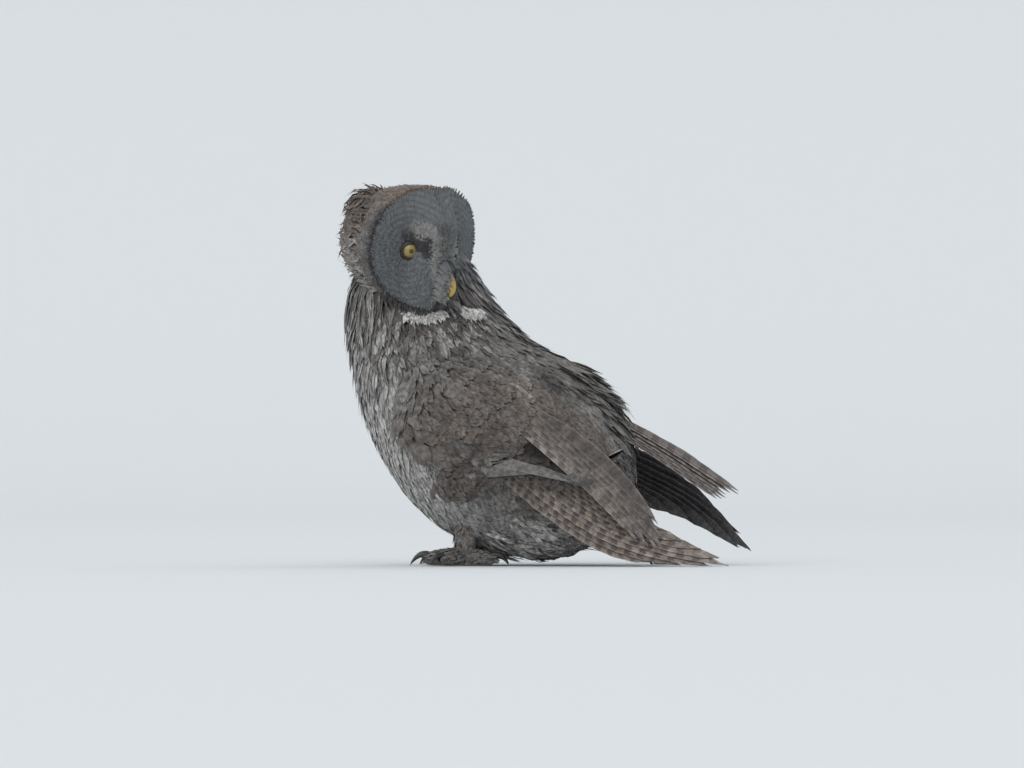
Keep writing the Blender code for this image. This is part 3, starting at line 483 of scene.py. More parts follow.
def plumage_group():
    """Colour and height of a vane from its stored numbers.

    Design holds, in order: strength of the shaft stripe, strength of the bars, number of bars over ten.
    """
    group = bpy.data.node_groups.new("plumage", "ShaderNodeTree")
    for label, kind, value in (
            ("Vane", "Vector", None), ("Ground", "Color", None), ("Mark", "Color", None),
            ("Design", "Color", None), ("Fringe", "Float", None), ("Place", "Vector", None),
            ("Barb", "Float", 1.0), ("Ring", "Float", 0.0),
            ("Tone_and_painted_shade", "Float", 1.0), ("Bend", "Float", 0.1), ("Mottle", "Float", 0.3)):
        made = group.interface.new_socket(label, in_out="INPUT", socket_type="NodeSocket" + kind)
        if value is not None:
            made.default_value = value
    for label, kind in (("Colour", "Color"), ("Height", "Float"), ("Rough", "Float")):
        group.interface.new_socket(label, in_out="OUTPUT", socket_type="NodeSocket" + kind)
    tree = Tree(group)
    given = group.nodes.new("NodeGroupInput").outputs
    ends = group.nodes.new("NodeGroupOutput").inputs
    split = group.nodes.new("ShaderNodeSeparateXYZ")
    tree.feed(split.inputs[0], given["Vane"])
    along, across, rank = split.outputs
    numbers = group.nodes.new("ShaderNodeSeparateColor")
    tree.feed(numbers.inputs[0], given["Design"])
    stripe, bar, bars = numbers.outputs
    side = tree.maths("ABSOLUTE", across)
    bend, ring = given["Bend"], given["Ring"]
    speckle = tree.noise(given["Place"], 210.0, 3.0, 0.6)
    patch = tree.noise(given["Place"], 55.0)
    pepper = tree.noise(given["Place"], 950.0, 2.0, 0.6)
    # Shaft stripe, widest at the middle of the vane and lost at its root.
    reach = tree.plus(tree.scaled(speckle, 0.5, 0.02), 0.12)
    inside = tree.minus(1.0, tree.ramp(side, 0.02, reach))
    shaft = tree.times(tree.times(inside, stripe), tree.ramp(along, 0.12, 0.45))
    # Bars that bend towards the tip at the edges, with ragged edges from the noise.
    bent = tree.minus(along, tree.times(side, bend))
    wavy = tree.scaled(tree.minus(speckle, 0.5), tree.times(bend, 1.5), bent)
    wave = tree.sine(tree.scaled(rank, 6.0, tree.times(tree.times(wavy, bars), 62.83)))
    dark = tree.most(shaft, tree.times(tree.ramp(wave, -0.25, 0.45), bar))
    # Rings of the face: dark lines where the stored ring number passes a whole number.
    circle = tree.sine(tree.times(tree.scaled(patch, 0.5, ring), 6.2832))
    ringed = tree.times(tree.ramp(circle, 0.0, 0.8), tree.ramp(ring, 0.5, 1.5))
    dark = tree.most(dark, tree.times(ringed, 0.36))
    dark = tree.times(dark, tree.scaled(patch, 0.8, 0.6), clamp=True)
    colour = tree.blend(dark, given["Ground"], given["Mark"])
    # Fringe, paler along the sides and at the tip.
    rim = tree.most(tree.ramp(side, 0.62, 1.0), tree.ramp(along, 0.82, 1.0))
    pale = tree.blend(0.45, given["Ground"], (0.62, 0.60, 0.57))
    colour = tree.blend(tree.times(rim, given["Fringe"]), colour, pale)
    # Each feather is a little lighter or darker than the next, and so is each barb.
    barb = tree.scaled(tree.sine(tree.scaled(side, -24.0, tree.times(along, 95.0))), 0.5, 0.5)
    shade = tree.scaled(tree.times(barb, given["Barb"]), 0.12, 0.94)
    for grain, low, high, weight in (
            (speckle, 0.36, 0.62, 1.6), (patch, 0.36, 0.64, 0.8), (pepper, 0.40, 0.62, 0.5)):
        loose_grain = tree.times(tree.minus(tree.ramp(grain, low, high), 0.5), given["Mottle"])
        shade = tree.times(shade, tree.scaled(loose_grain, weight, 1.0))
    # The stored tone brings in the near-side patches: painted shadow and shade, and the pale scapular patch.
    shade = tree.times(tree.scaled(rank, 0.14, 0.93), tree.times(shade, given["Tone_and_painted_shade"]))
    tree.feed(ends["Colour"], tree.node("VectorMath", {0: colour, "Scale": shade}, {"operation": "SCALE"}))
    quill = tree.minus(1.0, tree.ramp(side, 0.0, 0.10))
    tree.feed(ends["Height"], tree.plus(barb, tree.times(quill, 1.5)))
    tree.feed(ends["Rough"], tree.scaled(speckle, 0.15, 0.72))
    return group


PLUMAGE = plumage_group()


def feather_material(name, barb=0.7, bump=0.2, sheen=0.15, bend=0.10, mottle=0.34):
    """A Principled material that draws the stored design of each vane."""
    material, tree = new_material(name)
    plumage = tree.node("Group", {}, {"node_tree": PLUMAGE}).node
    for label, given in (
            ("Vane", tree.read("vane", "Vector")), ("Ground", tree.read("ground")),
            ("Mark", tree.read("mark")), ("Design", tree.read("design")),
            ("Fringe", tree.read("design", "Alpha")), ("Ring", tree.read("ring", "Fac")),
            ("Tone_and_painted_shade", tree.read("tone_and_painted_shade", "Fac")), ("Place", tree.node("TexCoord", {}, output="Object")),
            ("Barb", barb), ("Bend", bend), ("Mottle", mottle)):
        tree.feed(plumage.inputs[label], given)
    tree.shade({"Base Color": plumage.outputs["Colour"], "Roughness": plumage.outputs["Rough"],
                "Normal": tree.bump(plumage.outputs["Height"], bump, 0.0006), "Sheen Weight": sheen,
                "Sheen Roughness": 0.6, "Specular IOR Level": 0.25})
    return material


BODY_FEATHER = feather_material("body_plumage")
FACE_FEATHER = feather_material("face_plumage", barb=0.3, bump=0.1, mottle=0.10)
FLIGHT_FEATHER = feather_material("flight_plumage", barb=0.7, bump=0.3, sheen=0.05, bend=0.006, mottle=0.28)

# %% [markdown]
# Plumage colours as a painter would name them, in linear light. The bird is cool grey-brown, with a rusty
# warmth on the wing, nearly white on the throat patches and dusky in its marks.

# %% Colours
SLATE, ASH, PALE, WHITE, UMBER, SOOT, DUSK, DRAB, RUST, BUFF = np.array([
    (0.135, 0.140, 0.145), (0.305, 0.295, 0.282), (0.47, 0.455, 0.435), (0.66, 0.65, 0.62),
    (0.045, 0.037, 0.034), (0.020, 0.018, 0.020), (0.085, 0.075, 0.072), (0.165, 0.140, 0.125),
    (0.210, 0.130, 0.080), (0.330, 0.245, 0.185)])


def mixed(a, b, amount):
    """Colours between a and b, one for each amount."""
    amount = np.clip(np.asarray(amount, float), 0, 1)[:, None]
    return a * (1 - amount) + b * amount


def clumps(points, size, seed):
    """Smooth random values from 0 to 1 that change over the given size: sums of three sine waves each way."""
    picks = np.random.default_rng(seed)
    total = np.zeros(len(points))
    for _ in range(7):
        way = unit(picks.normal(size=3))
        total += np.sin(points @ way * (2 * np.pi / (size * picks.uniform(0.7, 1.5))) + picks.uniform(0, 6.28))
    return np.clip(0.5 + total / 6.5, 0, 1)


def many(count):
    return max(int(round(count * THIN)), 4)


print("plumage shader", len(PLUMAGE.nodes), "nodes")

# %% [markdown]
# The floor, the backdrop and the lights: an overcast sky, so one broad soft light from above and the
# left, and a bright even world. The floor runs up behind the bird in one sweep, so that no edge shows.

# %% Floor and light
def sweep():
    """A floor that curves up into a wall: a profile of flat, quarter arc and upright, drawn out sideways."""
    arc = np.linspace(0, np.pi / 2, 24)
    radius, behind = 2.5, 5.0
    y = np.concatenate([[-16.0], [behind], behind + radius * np.sin(arc[1:]), [behind + radius]])
    z = np.concatenate([[0.0], [0.0], radius - radius * np.cos(arc[1:]), [9.0]])
    x = np.array([-12.0, 12.0])
    grid = np.stack(np.broadcast_arrays(x[:, None], y[None], z[None] - 0.0004), -1)
    n = len(y)
    faces = [(i, i + n, i + n + 1, i + 1) for i in range(n - 1)]
    mesh = bpy.data.meshes.new("floor")
    mesh.from_pydata(grid.reshape(-1, 3).tolist(), [], faces)
    mesh.polygons.foreach_set("use_smooth", [True] * len(faces))
    floor = place("floor", mesh)
    material, tree = new_material("floor_paint")
    tree.shade({"Base Color": (0.72, 0.74, 0.75), "Roughness": 0.9})
    mesh.materials.append(material)
    floor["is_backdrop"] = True


sweep()
world = bpy.data.worlds.new("overcast")
bpy.context.scene.world = world
world.use_nodes = True
world.node_tree.nodes["Background"].inputs["Color"].default_value = (0.90, 0.95, 1.0, 1)
world.node_tree.nodes["Background"].inputs["Strength"].default_value = 0.62


def soft_light(name, way, strength, angle, colour=(1, 1, 1)):
    """A sun as wide as a cloudy patch of sky, so that its shadows have no edge."""
    data = bpy.data.lights.new(name, "SUN")
    data.energy, data.angle, data.color = strength, math.radians(angle), colour
    place(name, data).rotation_euler = (-Vector(way)).to_track_quat("-Z", "Y").to_euler()


soft_light("key", (-0.45, -0.70, 1.0), 1.25, 70, (1.0, 0.99, 0.97))
soft_light("back", (0.6, 0.9, 1.2), 0.55, 60, (0.95, 0.98, 1.0))
bpy.context.scene.view_settings.view_transform = "Standard"
print("floor, world and two lights")

# %% [markdown]
# The skin is one closed surface from the crown to the toes. Its parts are closed shapes a few millimetres
# inside the solids. A voxel remesh fuses them, so that no seam is left where neck meets shoulder.

# %% Skin
def closed_mesh(rings):
    """(points, triangles) through rings (n, m, 3) with a fan at each end."""
    rings = np.asarray(rings)
    n, m, _ = rings.shape
    grid = np.arange(n * m).reshape(n, m)
    a, b = grid[:-1], grid[1:]
    a2, b2 = np.roll(a, -1, 1), np.roll(b, -1, 1)
    walls = [np.stack(three, -1).reshape(-1, 3) for three in ([a, b, b2], [a, b2, a2])]
    points = np.concatenate([rings.reshape(-1, 3), rings[:1].mean(1), rings[-1:].mean(1)])
    start = np.stack([np.full(m, n * m), grid[0], np.roll(grid[0], -1)], -1)
    end = np.stack([np.full(m, n * m + 1), np.roll(grid[-1], -1), grid[-1]], -1)
    faces = np.concatenate([*walls, start, end])
    return points, faces[:, ::-1] if np.linalg.det(points[faces]).sum() < 0 else faces


def tube_rings(path, radii, around=16, up=(0, 0, 1)):
    """Rings round a path."""
    along = unit(np.gradient(path, axis=0))
    side = unit(np.cross(along, np.broadcast_to(up, path.shape)))
    top = np.cross(side, along)
    turn = np.linspace(0, 2 * np.pi, around, endpoint=False)
    return (path[:, None] + side[:, None] * (radii[:, None] * np.cos(turn))[..., None]
            + top[:, None] * (radii[:, None] * np.sin(turn))[..., None])


TURN = np.linspace(0, 2 * np.pi, 72, endpoint=False)
FOOT_X, FOOT_Y = -6 * MM, 36 * MM
TOES = {"inner": (-24, 40), "middle": (6, 46), "outer": (46, 40), "hind": (168, 35)}


def trunk_shape(depth):
    """The trunk drawn in by depth, closed by a dome at the neck and one over the rump."""
    rings = [trunk(s, TURN, -depth) for s in np.linspace(0.0, 6.95, 60)]
    first, last = rings[0], rings[-1]

    def dome(ring, way, tall, degrees):
        """A ring of a rounded end: shrunk by the cosine, moved along way by tall mm times the sine."""
        t = np.radians(degrees)
        return ring.mean(0) + (ring - ring.mean(0)) * np.cos(t) + way * tall * MM * np.sin(t)

    rings = [dome(first, UP, 14, t) for t in (65, 45, 25)] + rings
    return closed_mesh(rings + [dome(last, np.array([0.7, 0, -0.7]), 12, t) for t in (25, 45, 62, 76)])


def head_shape(depth):
    """Face and skull drawn in by depth."""
    rings = []
    for r in np.linspace(0.03, 0.97, 22):
        l, v = r * DISC_HALF * np.cos(TURN), r * DISC_TALL * np.sin(TURN)
        k = 1 + (rim_square(l, v) - 1) * smooth(np.array(r), 0.6, 1.0)
        rings.append(on_face(l * k * 0.985, v * k * 0.985, -0.55 * depth))
    for t in np.linspace(0.0, 0.985, 30):
        rings.append(skull(t, TURN, -depth * (0.55 + 0.45 * smooth(t, 0.0, 0.2))))
    return closed_mesh(rings)


def ball_shape(centre, axes):
    """An ellipsoid with its half-axes along x, y and z."""
    polar = np.linspace(0.06, np.pi - 0.06, 24)[:, None]
    ring = [np.sin(polar) * np.cos(TURN), np.sin(polar) * np.sin(TURN), np.cos(polar) * np.ones_like(TURN)]
    return closed_mesh(centre + np.stack(ring, -1) * axes)


def arm_shape(side, depth):
    """The folded arm as a closed slab between its outer side and the flank."""
    u, w = np.linspace(0.02, 0.97, 40)[:, None], np.linspace(0.04, 0.96, 26)[None]
    outer = arm(u, w, -depth)
    inner = outer * [1, 0, 1] + [0, -30 * MM, 0]
    return closed_mesh(np.concatenate([outer, inner[:, ::-1]], 1) * [1, -side, 1])


def toe_way(side, angle):
    """Level direction of a toe, turned outwards by angle degrees from straight ahead, -X."""
    turn = np.radians(angle)
    return np.array([-np.cos(turn), side * np.sin(turn), 0.0])


def toe_line(side, angle, length):
    """Centre line of a toe and its radii, root to claw."""
    t = np.linspace(0, 1, 9)
    lift = np.interp(t, np.linspace(0, 1, 6), [9.6, 9.6, 9.4, 8.8, 8.2, 7.0]) * MM
    radii = np.interp(t, np.linspace(0, 1, 6), [10, 11, 10.2, 9.5, 8.8, 4.5]) * MM
    reach = (-2 + (length + 2) * t) * MM
    foot = np.array([FOOT_X, side * FOOT_Y, 0.0])
    return foot + toe_way(side, angle) * reach[:, None] + UP * lift[:, None], radii


def leg_line(side):
    """Centre line of a leg from the toes up into the belly, and its radii."""
    path = [(FOOT_X + x * MM, side * (FOOT_Y + y * MM), z * MM)
            for x, y, z in ((0, 0, 5), (0, 0, 27), (2, 0, 44), (8, 2, 66), (16, 3, 92))]
    return np.array(path), np.array([11, 12.5, 15, 20, 22]) * MM


def fused(name, shapes, voxel):
    """One surface out of closed shapes, by voxel remesh, softened a little."""
    points, faces, base = [], [], 0
    for p, f in shapes:
        points.append(p)
        faces.append(f + base)
        base += len(p)
    mesh = bpy.data.meshes.new(name)
    mesh.from_pydata((np.concatenate(points) + SHIFT).tolist(), [], np.concatenate(faces).tolist())
    piece = place(name, mesh)
    remesh = piece.modifiers.new("fuse", "REMESH")
    remesh.mode, remesh.voxel_size, remesh.use_smooth_shade = "VOXEL", voxel, True
    relax = piece.modifiers.new("relax", "SMOOTH")
    relax.factor, relax.iterations = 0.5, 4
    bpy.context.view_layer.update()
    done = bpy.data.meshes.new_from_object(piece.evaluated_get(bpy.context.evaluated_depsgraph_get()))
    piece.modifiers.clear()
    piece.data = done
    bpy.data.meshes.remove(mesh)
    done.name = name
    return piece


shapes = [trunk_shape(5 * MM), head_shape(3.5 * MM), ball_shape(NAPE, NAPE_AXES - 12 * MM),
          arm_shape(-1, 5 * MM), arm_shape(1, 5 * MM)]
for side in (-1, 1):
    path, radii = leg_line(side)
    shapes.append(closed_mesh(tube_rings(path, radii - 2.5 * MM, 20, (1, 0, 0))))
    for angle, length in TOES.values():
        path, radii = toe_line(side, angle, length)
        shapes.append(closed_mesh(tube_rings(path, radii - 2.2 * MM)))
skin = fused("skin", shapes, 0.0026)
print("skin", len(skin.data.polygons), "faces")

# %% [markdown]
# The coat and the skin share one bake map, OFBake. The map is a cube projection: each point goes to the
# island of the axis its surface faces most, at its own place there. A feather keeps to a small patch at
# the place of its root.

# %% The OFBake map and the laying of feathers
ROOM_LOW, ROOM_HIGH = np.array([-0.17, -0.14, -0.01]), np.array([0.35, 0.14, 0.47])
SEEN = []


def unwrap(points, normals):
    """Six islands, 3 by 2: x-facing ones hold (y, z), y-facing ones (x, z) and z-facing ones (x, y)."""
    way = np.abs(normals).argmax(-1)
    front = np.take_along_axis(normals, way[..., None], -1)[..., 0] > 0
    at = (points - ROOM_LOW) / (ROOM_HIGH - ROOM_LOW)
    u = np.where(way == 0, at[..., 1], at[..., 0])
    v = np.where(way == 2, at[..., 1], at[..., 2])
    return np.stack([(way + 0.02 + 0.96 * u) / 3, (front + 0.02 + 0.96 * v) / 2], -1)


def plant(coat, centre, out, width, ground, mark, design, seed, ring=None, rank=None, **shape):
    """Grow feathers on their centre lines, note their colours for the skin, and add them to a piece."""
    look = [np.broadcast_to(v, (len(centre), np.shape(v)[-1])) for v in (ground, mark, design)]
    points = grow(centre, out, width, seed=seed, **shape)
    points[..., 2] = np.maximum(points[..., 2], 0.7 * MM)
    rings = None if ring is None else ring(points)
    coat.add(points, *look, unwrap(centre[:, 0], out[:, 0]), seed, rings, rank)
    SEEN.append((centre[:, 0], *look))


def tract(surface, a, b, length, yaw, heights, rows=6, mirror=False):
    """Feathers of given lengths rooted at (a, b) on a surface; yaw turns them off the first direction."""
    a = np.maximum(a, 0) if surface is not arm else a
    step = 1e-3
    base = surface(a, b)
    per_a = np.linalg.norm(surface(a + step, b) - base, axis=-1) / step
    per_b = np.linalg.norm(surface(a, b + step) - base, axis=-1) / step
    a1 = a + length * np.cos(yaw) / np.maximum(per_a, 1e-6)
    b1 = b + length * np.sin(yaw) / np.maximum(per_b, 1e-6)
    return lay(surface, a, b, a1, b1, heights, rows, mirror)


def rings_of_roots(surface, stations, pitch, seed, jitter=0.35, low=-np.pi, high=np.pi):
    """Staggered roots: each station's ring holds as many as fit at the pitch. Gives two arrays."""
    picks = np.random.default_rng(seed)
    angles = np.linspace(low, high, 49)
    a_all, b_all = [], []
    step = np.gradient(stations)
    for row, station in enumerate(stations):
        line = surface(np.full(49, station), angles)
        n = max(int(np.linalg.norm(np.diff(line, axis=0), axis=-1).sum() / pitch), 3)
        at = (np.arange(n) + 0.25 + 0.5 * (row % 2) + picks.uniform(-jitter, jitter, n)) / n
        a_all.append(station + step[row] * picks.uniform(-jitter, jitter, n))
        b_all.append(low + (high - low) * at)
    return np.concatenate(a_all), np.concatenate(b_all)


def rising(lift, *steps):
    """Heights from root to tip; each step is (mm, share of the feather's own lift)."""
    return np.stack([base * MM + share * lift for base, share in steps], -1)


def level(tip, *before):
    """Heights in mm that all feathers share, and the tip's own at the end."""
    return np.stack([np.full(len(tip), v) for v in before] + [tip], -1) * MM


# %% [markdown]
# Body feathers run from the head to the rump in staggered rings. Their roots lie at the skin, their tips
# over the roots of the next ring, like slates. The breast is pale with dark shafts, the neck is boldly
# streaked, the belly finely barred, and the back is brown with pale mottles. Every one of these is a smooth
# mask over the body, so that one kind of feather passes into the next.

# %% Body plumage
def body_colours(points, s, a, seed):
    """Ground, mark and design of body feathers from their station s and angle a round the trunk."""
    picks = np.random.default_rng(seed)
    n = len(s)
    chance = picks.uniform(0, 1, n)
    broad, fine = clumps(points, 0.040, seed + 1), clumps(points, 0.017, seed + 2)
    streak = smooth(clumps(points * [1, 1, 0.22], 0.017, seed + 3), 0.36, 0.66)
    round_a = np.abs(a)
    front, belly, neck = smooth(round_a, 1.75, 2.45), smooth(s, 3.9, 5.2), 1 - smooth(s, 1.7, 2.6)
    rump = smooth(s, 5.3, 6.3) * (1 - front)
    ground = mixed(DRAB * 0.80, ASH * 0.74, 0.3 + 0.8 * (fine - 0.4))
    for colour, amount in (
            (mixed(PALE * 0.86, PALE * 1.02, chance), front),
            (mixed(ASH * 0.72, ASH * 0.50, broad), front * belly),
            (mixed(DRAB * 0.9, ASH * 0.95, fine),
             smooth(round_a, 1.2, 1.7) * (1 - front) * smooth(s, 2.5, 3.5) * 0.7),
            (ASH * 0.85, rump * 0.8),
            (mixed(DUSK * 1.15, PALE * 0.72, streak), neck * (0.35 + 0.5 * smooth(round_a, 0.3, 1.0))),
            (UMBER * 1.5, smooth(broad, 0.52, 0.8) * (1 - 0.9 * front) * 0.5),
            (SLATE * 1.25, (1 - smooth(s, 0.15, 0.6)) * (1 - smooth(round_a, 0.9, 1.4)))):
        ground = mixed(ground, colour, amount)
    stripe = 0.40 + 0.45 * front * (chance < 0.55) + 0.1 * neck
    stripe = stripe * (1 - 0.6 * front * belly) * (1 - 0.5 * rump)
    bars = 0.35 + 0.30 * front * belly + 0.15 * rump - 0.30 * front * (1 - belly) - 0.2 * neck
    number = 0.33 + 0.15 * front * belly + 0.1 * picks.uniform(-1, 1, n)
    design = np.clip(np.stack([stripe, bars, number, 0.18 + 0.2 * front + 0.1 * neck], -1), 0, 1)
    return ground, mixed(UMBER * 1.3, DUSK * 1.1, chance * 0.6), design


def trunk_stations(pitch, low=0.0, high=7.05):
    """Stations a pitch apart, measured down the side of the trunk."""
    fine = np.linspace(low, high, 300)
    gone = np.concatenate([[0], np.cumsum(np.linalg.norm(np.diff(trunk(fine, 2.0), axis=0), axis=-1))])
    return np.interp(np.arange(0, gone[-1], pitch), gone, fine)


pitch = 5.5 * MM / THIN
s, a = rings_of_roots(trunk, trunk_stations(pitch), pitch * 1.15, 11)
a = (a + np.pi) % (2 * np.pi) - np.pi
picks = np.random.default_rng(12)
front, neck = smooth(np.abs(a), 1.55, 2.35), 1 - smooth(s, 1.9, 3.1)
length = (25 + 6 * front + 1 * neck + 8 * smooth(s, 5.2, 6.5)) * picks.uniform(0.8, 1.3, len(s)) * MM
length = length * (0.5 + 0.5 * smooth(s, 0.0, 0.5))
lift = picks.uniform(0, 1, len(s)) ** 3 * (2.5 + 3.5 * neck) * MM
heights = rising(lift, (-5, 0), (-2, 0.3), (-0.1, 0.6), (0.8, 1))
heights = heights - 3.0 * MM * (1 - smooth(s, 0.0, 0.7))[:, None]
lines = tract(trunk, s, a, length, picks.normal(0, 0.20, len(s)), heights)
look = body_colours(trunk(s, a), s, a, 13)
width = length * picks.uniform(0.32, 0.44, len(s)) * (1 - 0.22 * neck)
breast = np.abs(a) > 1.75
for name, chosen in (("coat_breast", breast), ("coat_neck", ~breast & (s < 2.3)),
                     ("coat_back", ~breast & (s >= 2.3))):
    coat = Coat(name)
    centre, out, wide, *colours = (v[chosen] for v in (*lines, width, *look))
    plant(coat, centre, out, wide, *colours, 14, camber=0.04, ragged=0.25, fray=0.2,
          lean=picks.normal(0, 0.05, chosen.sum()))
    coat.make(BODY_FEATHER)

# %% [markdown]
# The wind lifts the long scapulars along the back and the loose feathers under the belly. They are the same
# vanes, longer, narrower and raised further at their tips.

# %% Raised scapulars and belly wisps
coat = Coat("coat_scapulars")
picks = np.random.default_rng(21)
n = many(420)
s = picks.uniform(2.3, 4.9, n)
a = np.where(picks.uniform(0, 1, n) < 0.62, -1, 1) * picks.uniform(0.05, 0.95, n)
humped = picks.uniform(0, 1, n) < 0.25
s, a = np.where(humped, picks.uniform(2.65, 3.7, n), s), np.where(humped, picks.uniform(-0.45, 0.25, n), a)
length = picks.uniform(34, 56, n) * MM
top = picks.uniform(0.1, 1, n) ** 2.0 * 11 * MM * smooth(s, 2.2, 3.4) + 1.5 * MM
top = np.where(humped, picks.uniform(0.3, 1, n) * 15 * MM + 2 * MM, top)
heights = rising(top, (-4, 0), (-0.5, 0.25), (0, 0.65), (0, 1))
lines = tract(trunk, s, a, length, picks.normal(0, 0.16, n) - 0.10 * np.sign(a), heights, 7)
plant(coat, *lines, length * picks.uniform(0.20, 0.32, n), *body_colours(lines[0][:, 2], s, a, 22), 23,
      camber=0.05, ragged=0.28, fray=0.24, lean=picks.normal(0, 0.10, n))
n = many(26)
s, a = picks.uniform(3.25, 3.75, n), picks.uniform(-0.30, 0.0, n)
heights = rising(picks.uniform(6, 15, n) * MM, (-3, 0), (0, 0.3), (0, 0.8), (0, 1))
lines = tract(trunk, s, a, picks.uniform(52, 68, n) * MM, picks.normal(0, 0.06, n), heights, 7)
plant(coat, *lines, picks.uniform(3.5, 6.5, n) * MM, *body_colours(lines[0][:, 2], s, a, 26), 27, camber=0.05,
      ragged=0.3, fray=0.2)
n = many(420)
s = picks.uniform(4.9, 6.7, n)
a = np.pi * picks.choice([-1, 1], n) * picks.uniform(0.62, 1.0, n)
length = picks.uniform(32, 64, n) * MM * (1 - 0.30 * smooth(s, 6.0, 6.7))
heights = rising(picks.uniform(0, 1, n) ** 1.5 * 12 * MM, (-4, 0), (0, 0.3), (1, 0.7), (1, 1))
lines = tract(trunk, s, a, length, picks.normal(0, 0.25, n), heights, 7)
ground, mark, design = body_colours(lines[0][:, 2], s, a, 24)
plant(coat, *lines, length * picks.uniform(0.08, 0.14, n), mixed(ASH, PALE, picks.uniform(0, 1, n)), mark,
      design * [0.5, 0.8, 1, 1], 25, ragged=0.3, fray=0.25, lean=picks.normal(0, 0.1, n))
coat.make(BODY_FEATHER)

# %% [markdown]
# The folded arm of each wing carries three tiers of coverts, small on the shoulder and large along the lower
# edge. They are warmer brown than the back, each with a dark middle and a pale spot near its tip.

# %% Wing coverts
def covert_colours(points, edge, seed):
    """Mottled brown: two scales of clumps, with a few pale feathers, greyer by edge."""
    picks = np.random.default_rng(seed)
    n = len(points)
    fine, broad = clumps(points, 0.013, seed + 1), clumps(points, 0.04, seed + 2)
    chance = picks.uniform(0, 1, n)
    ground = mixed(DRAB * 0.62 + RUST * 0.12, DRAB * 1.08 + RUST * 0.08, 0.6 * fine + 0.4 * chance)
    ground = ground * 0.8 + mixed(DUSK, ASH * 0.75, smooth(broad, 0.3, 0.7)) * 0.2
    ground = np.where((chance > 0.94)[:, None], ground * 0.65 + BUFF * 0.35, ground) * 0.86
    ground = mixed(ground, mixed(DUSK * 1.3, ASH * 0.85, chance), 0.85 * edge)
    ranges = ((0.0, 0.5), (0.1, 0.5), (0.25, 0.45), (0.0, 0.25))
    design = np.stack([picks.uniform(*ends, n) for ends in ranges], -1)
    return ground, mixed(UMBER * 1.2, DUSK, broad), design


def arm_coverts(coat, side, seed):
    """Tiers of coverts as (lowest w, highest w, pitch, length, width, height of the tip) in mm. Behind u 0.55
    the lower half is left to the tertials."""
    tiers = ((0.26, 1.06, 5.6, 26, 8.0, 0.5), (0.12, 0.32, 6.4, 34, 10, 1.3), (0.0, 0.17, 7.6, 44, 12, 2.2))
    for index, (w_low, w_high, step, long, wide, top) in enumerate(tiers):
        picks = np.random.default_rng(seed + index)
        stations = np.arange(-0.02, 0.95, step / 175 / THIN)
        u, w = rings_of_roots(arm, stations, (step - 1) * MM / THIN, seed + index, 0.3, w_low, w_high)
        kept = ((u < 0.56) | (w > 0.46 + 0.1 * (u > 0.8))) & ((index < 2) | (u < 0.30))
        u, w = u[kept], w[kept]
        n = len(u)
        length = long * MM * picks.uniform(0.85, 1.15, n) * (1 - 0.25 * (u < 0.1))
        length = length * (1 - 0.45 * smooth(u, 0.28, 0.54) * (w < 0.4))
        lift = picks.uniform(0, 1, n) ** 4 * 1.5 * MM
        heights = rising(lift, (-4.5, 0), (top - 1.8, 0.3), (top - 0.7, 0.6), (top, 1))
        lines = tract(arm, u, w, length, picks.normal(-0.16, 0.10, n), heights, mirror=side > 0)
        edge = np.clip(1 - smooth(u, -0.02, 0.16) + smooth(w, 0.72, 1.0), 0, 1)
        look = covert_colours(lines[0][:, 2], edge, seed + 10 + index)
        plant(coat, *lines, wide * MM * picks.uniform(0.85, 1.15, n), *look, seed + 20 + index,
              outline=LOOSE if index == 0 else ROUND, camber=0.025, ragged=0.2, fray=0.16,
              lean=picks.normal(0.02, 0.04, n))


def hollow(coat, side, seed):
    """Short feathers behind the coverts and above the primaries: brown along the lower edge, else near-black
    as painted shade of the hollow there.
    """
    stations = np.arange(0.32, 0.88, 0.027 / THIN)
    u, w = rings_of_roots(arm, stations, 5.5 * MM / THIN, seed, 0.3, -0.34, 0.5)
    picks = np.random.default_rng(seed + 1)
    n = len(u)
    low = 1 - smooth(w, 0.10, 0.2)
    raised = low * (1 - smooth(u, 0.44, 0.54))
    heights = level(picks.uniform(-2.0, -1.0, n), -6.5, -3.2)
    heights = heights + (raised * MM)[:, None] * np.array([2.0, 3.4, 3.2])
    lines = tract(arm, u, w, picks.uniform(16, 24, n) * MM, picks.normal(-0.1, 0.12, n), heights, 5, side > 0)
    # Near-black feathers stand in for the shade of the hollow: painted shade.
    painted_hollow_shade = mixed(SOOT * 2.2, DUSK * 0.8, picks.uniform(0, 1, n))
    brown = mixed(UMBER * 1.5, DRAB * 0.72, picks.uniform(0, 1, n))
    plant(coat, *lines, picks.uniform(8, 11, n) * MM, painted_hollow_shade + (brown - painted_hollow_shade) * low[:, None], SOOT,
          (0.2, 0.2, 0.3, 0.05), seed + 2, columns=4, camber=0.03, ragged=0.2)


for side, name in ((-1, "coat_arm_left"), (1, "coat_arm_right")):
    coat = Coat(name)
    arm_coverts(coat, side, 40 + side * 4)
    hollow(coat, side, 56 + side * 2)
    coat.make(BODY_FEATHER)
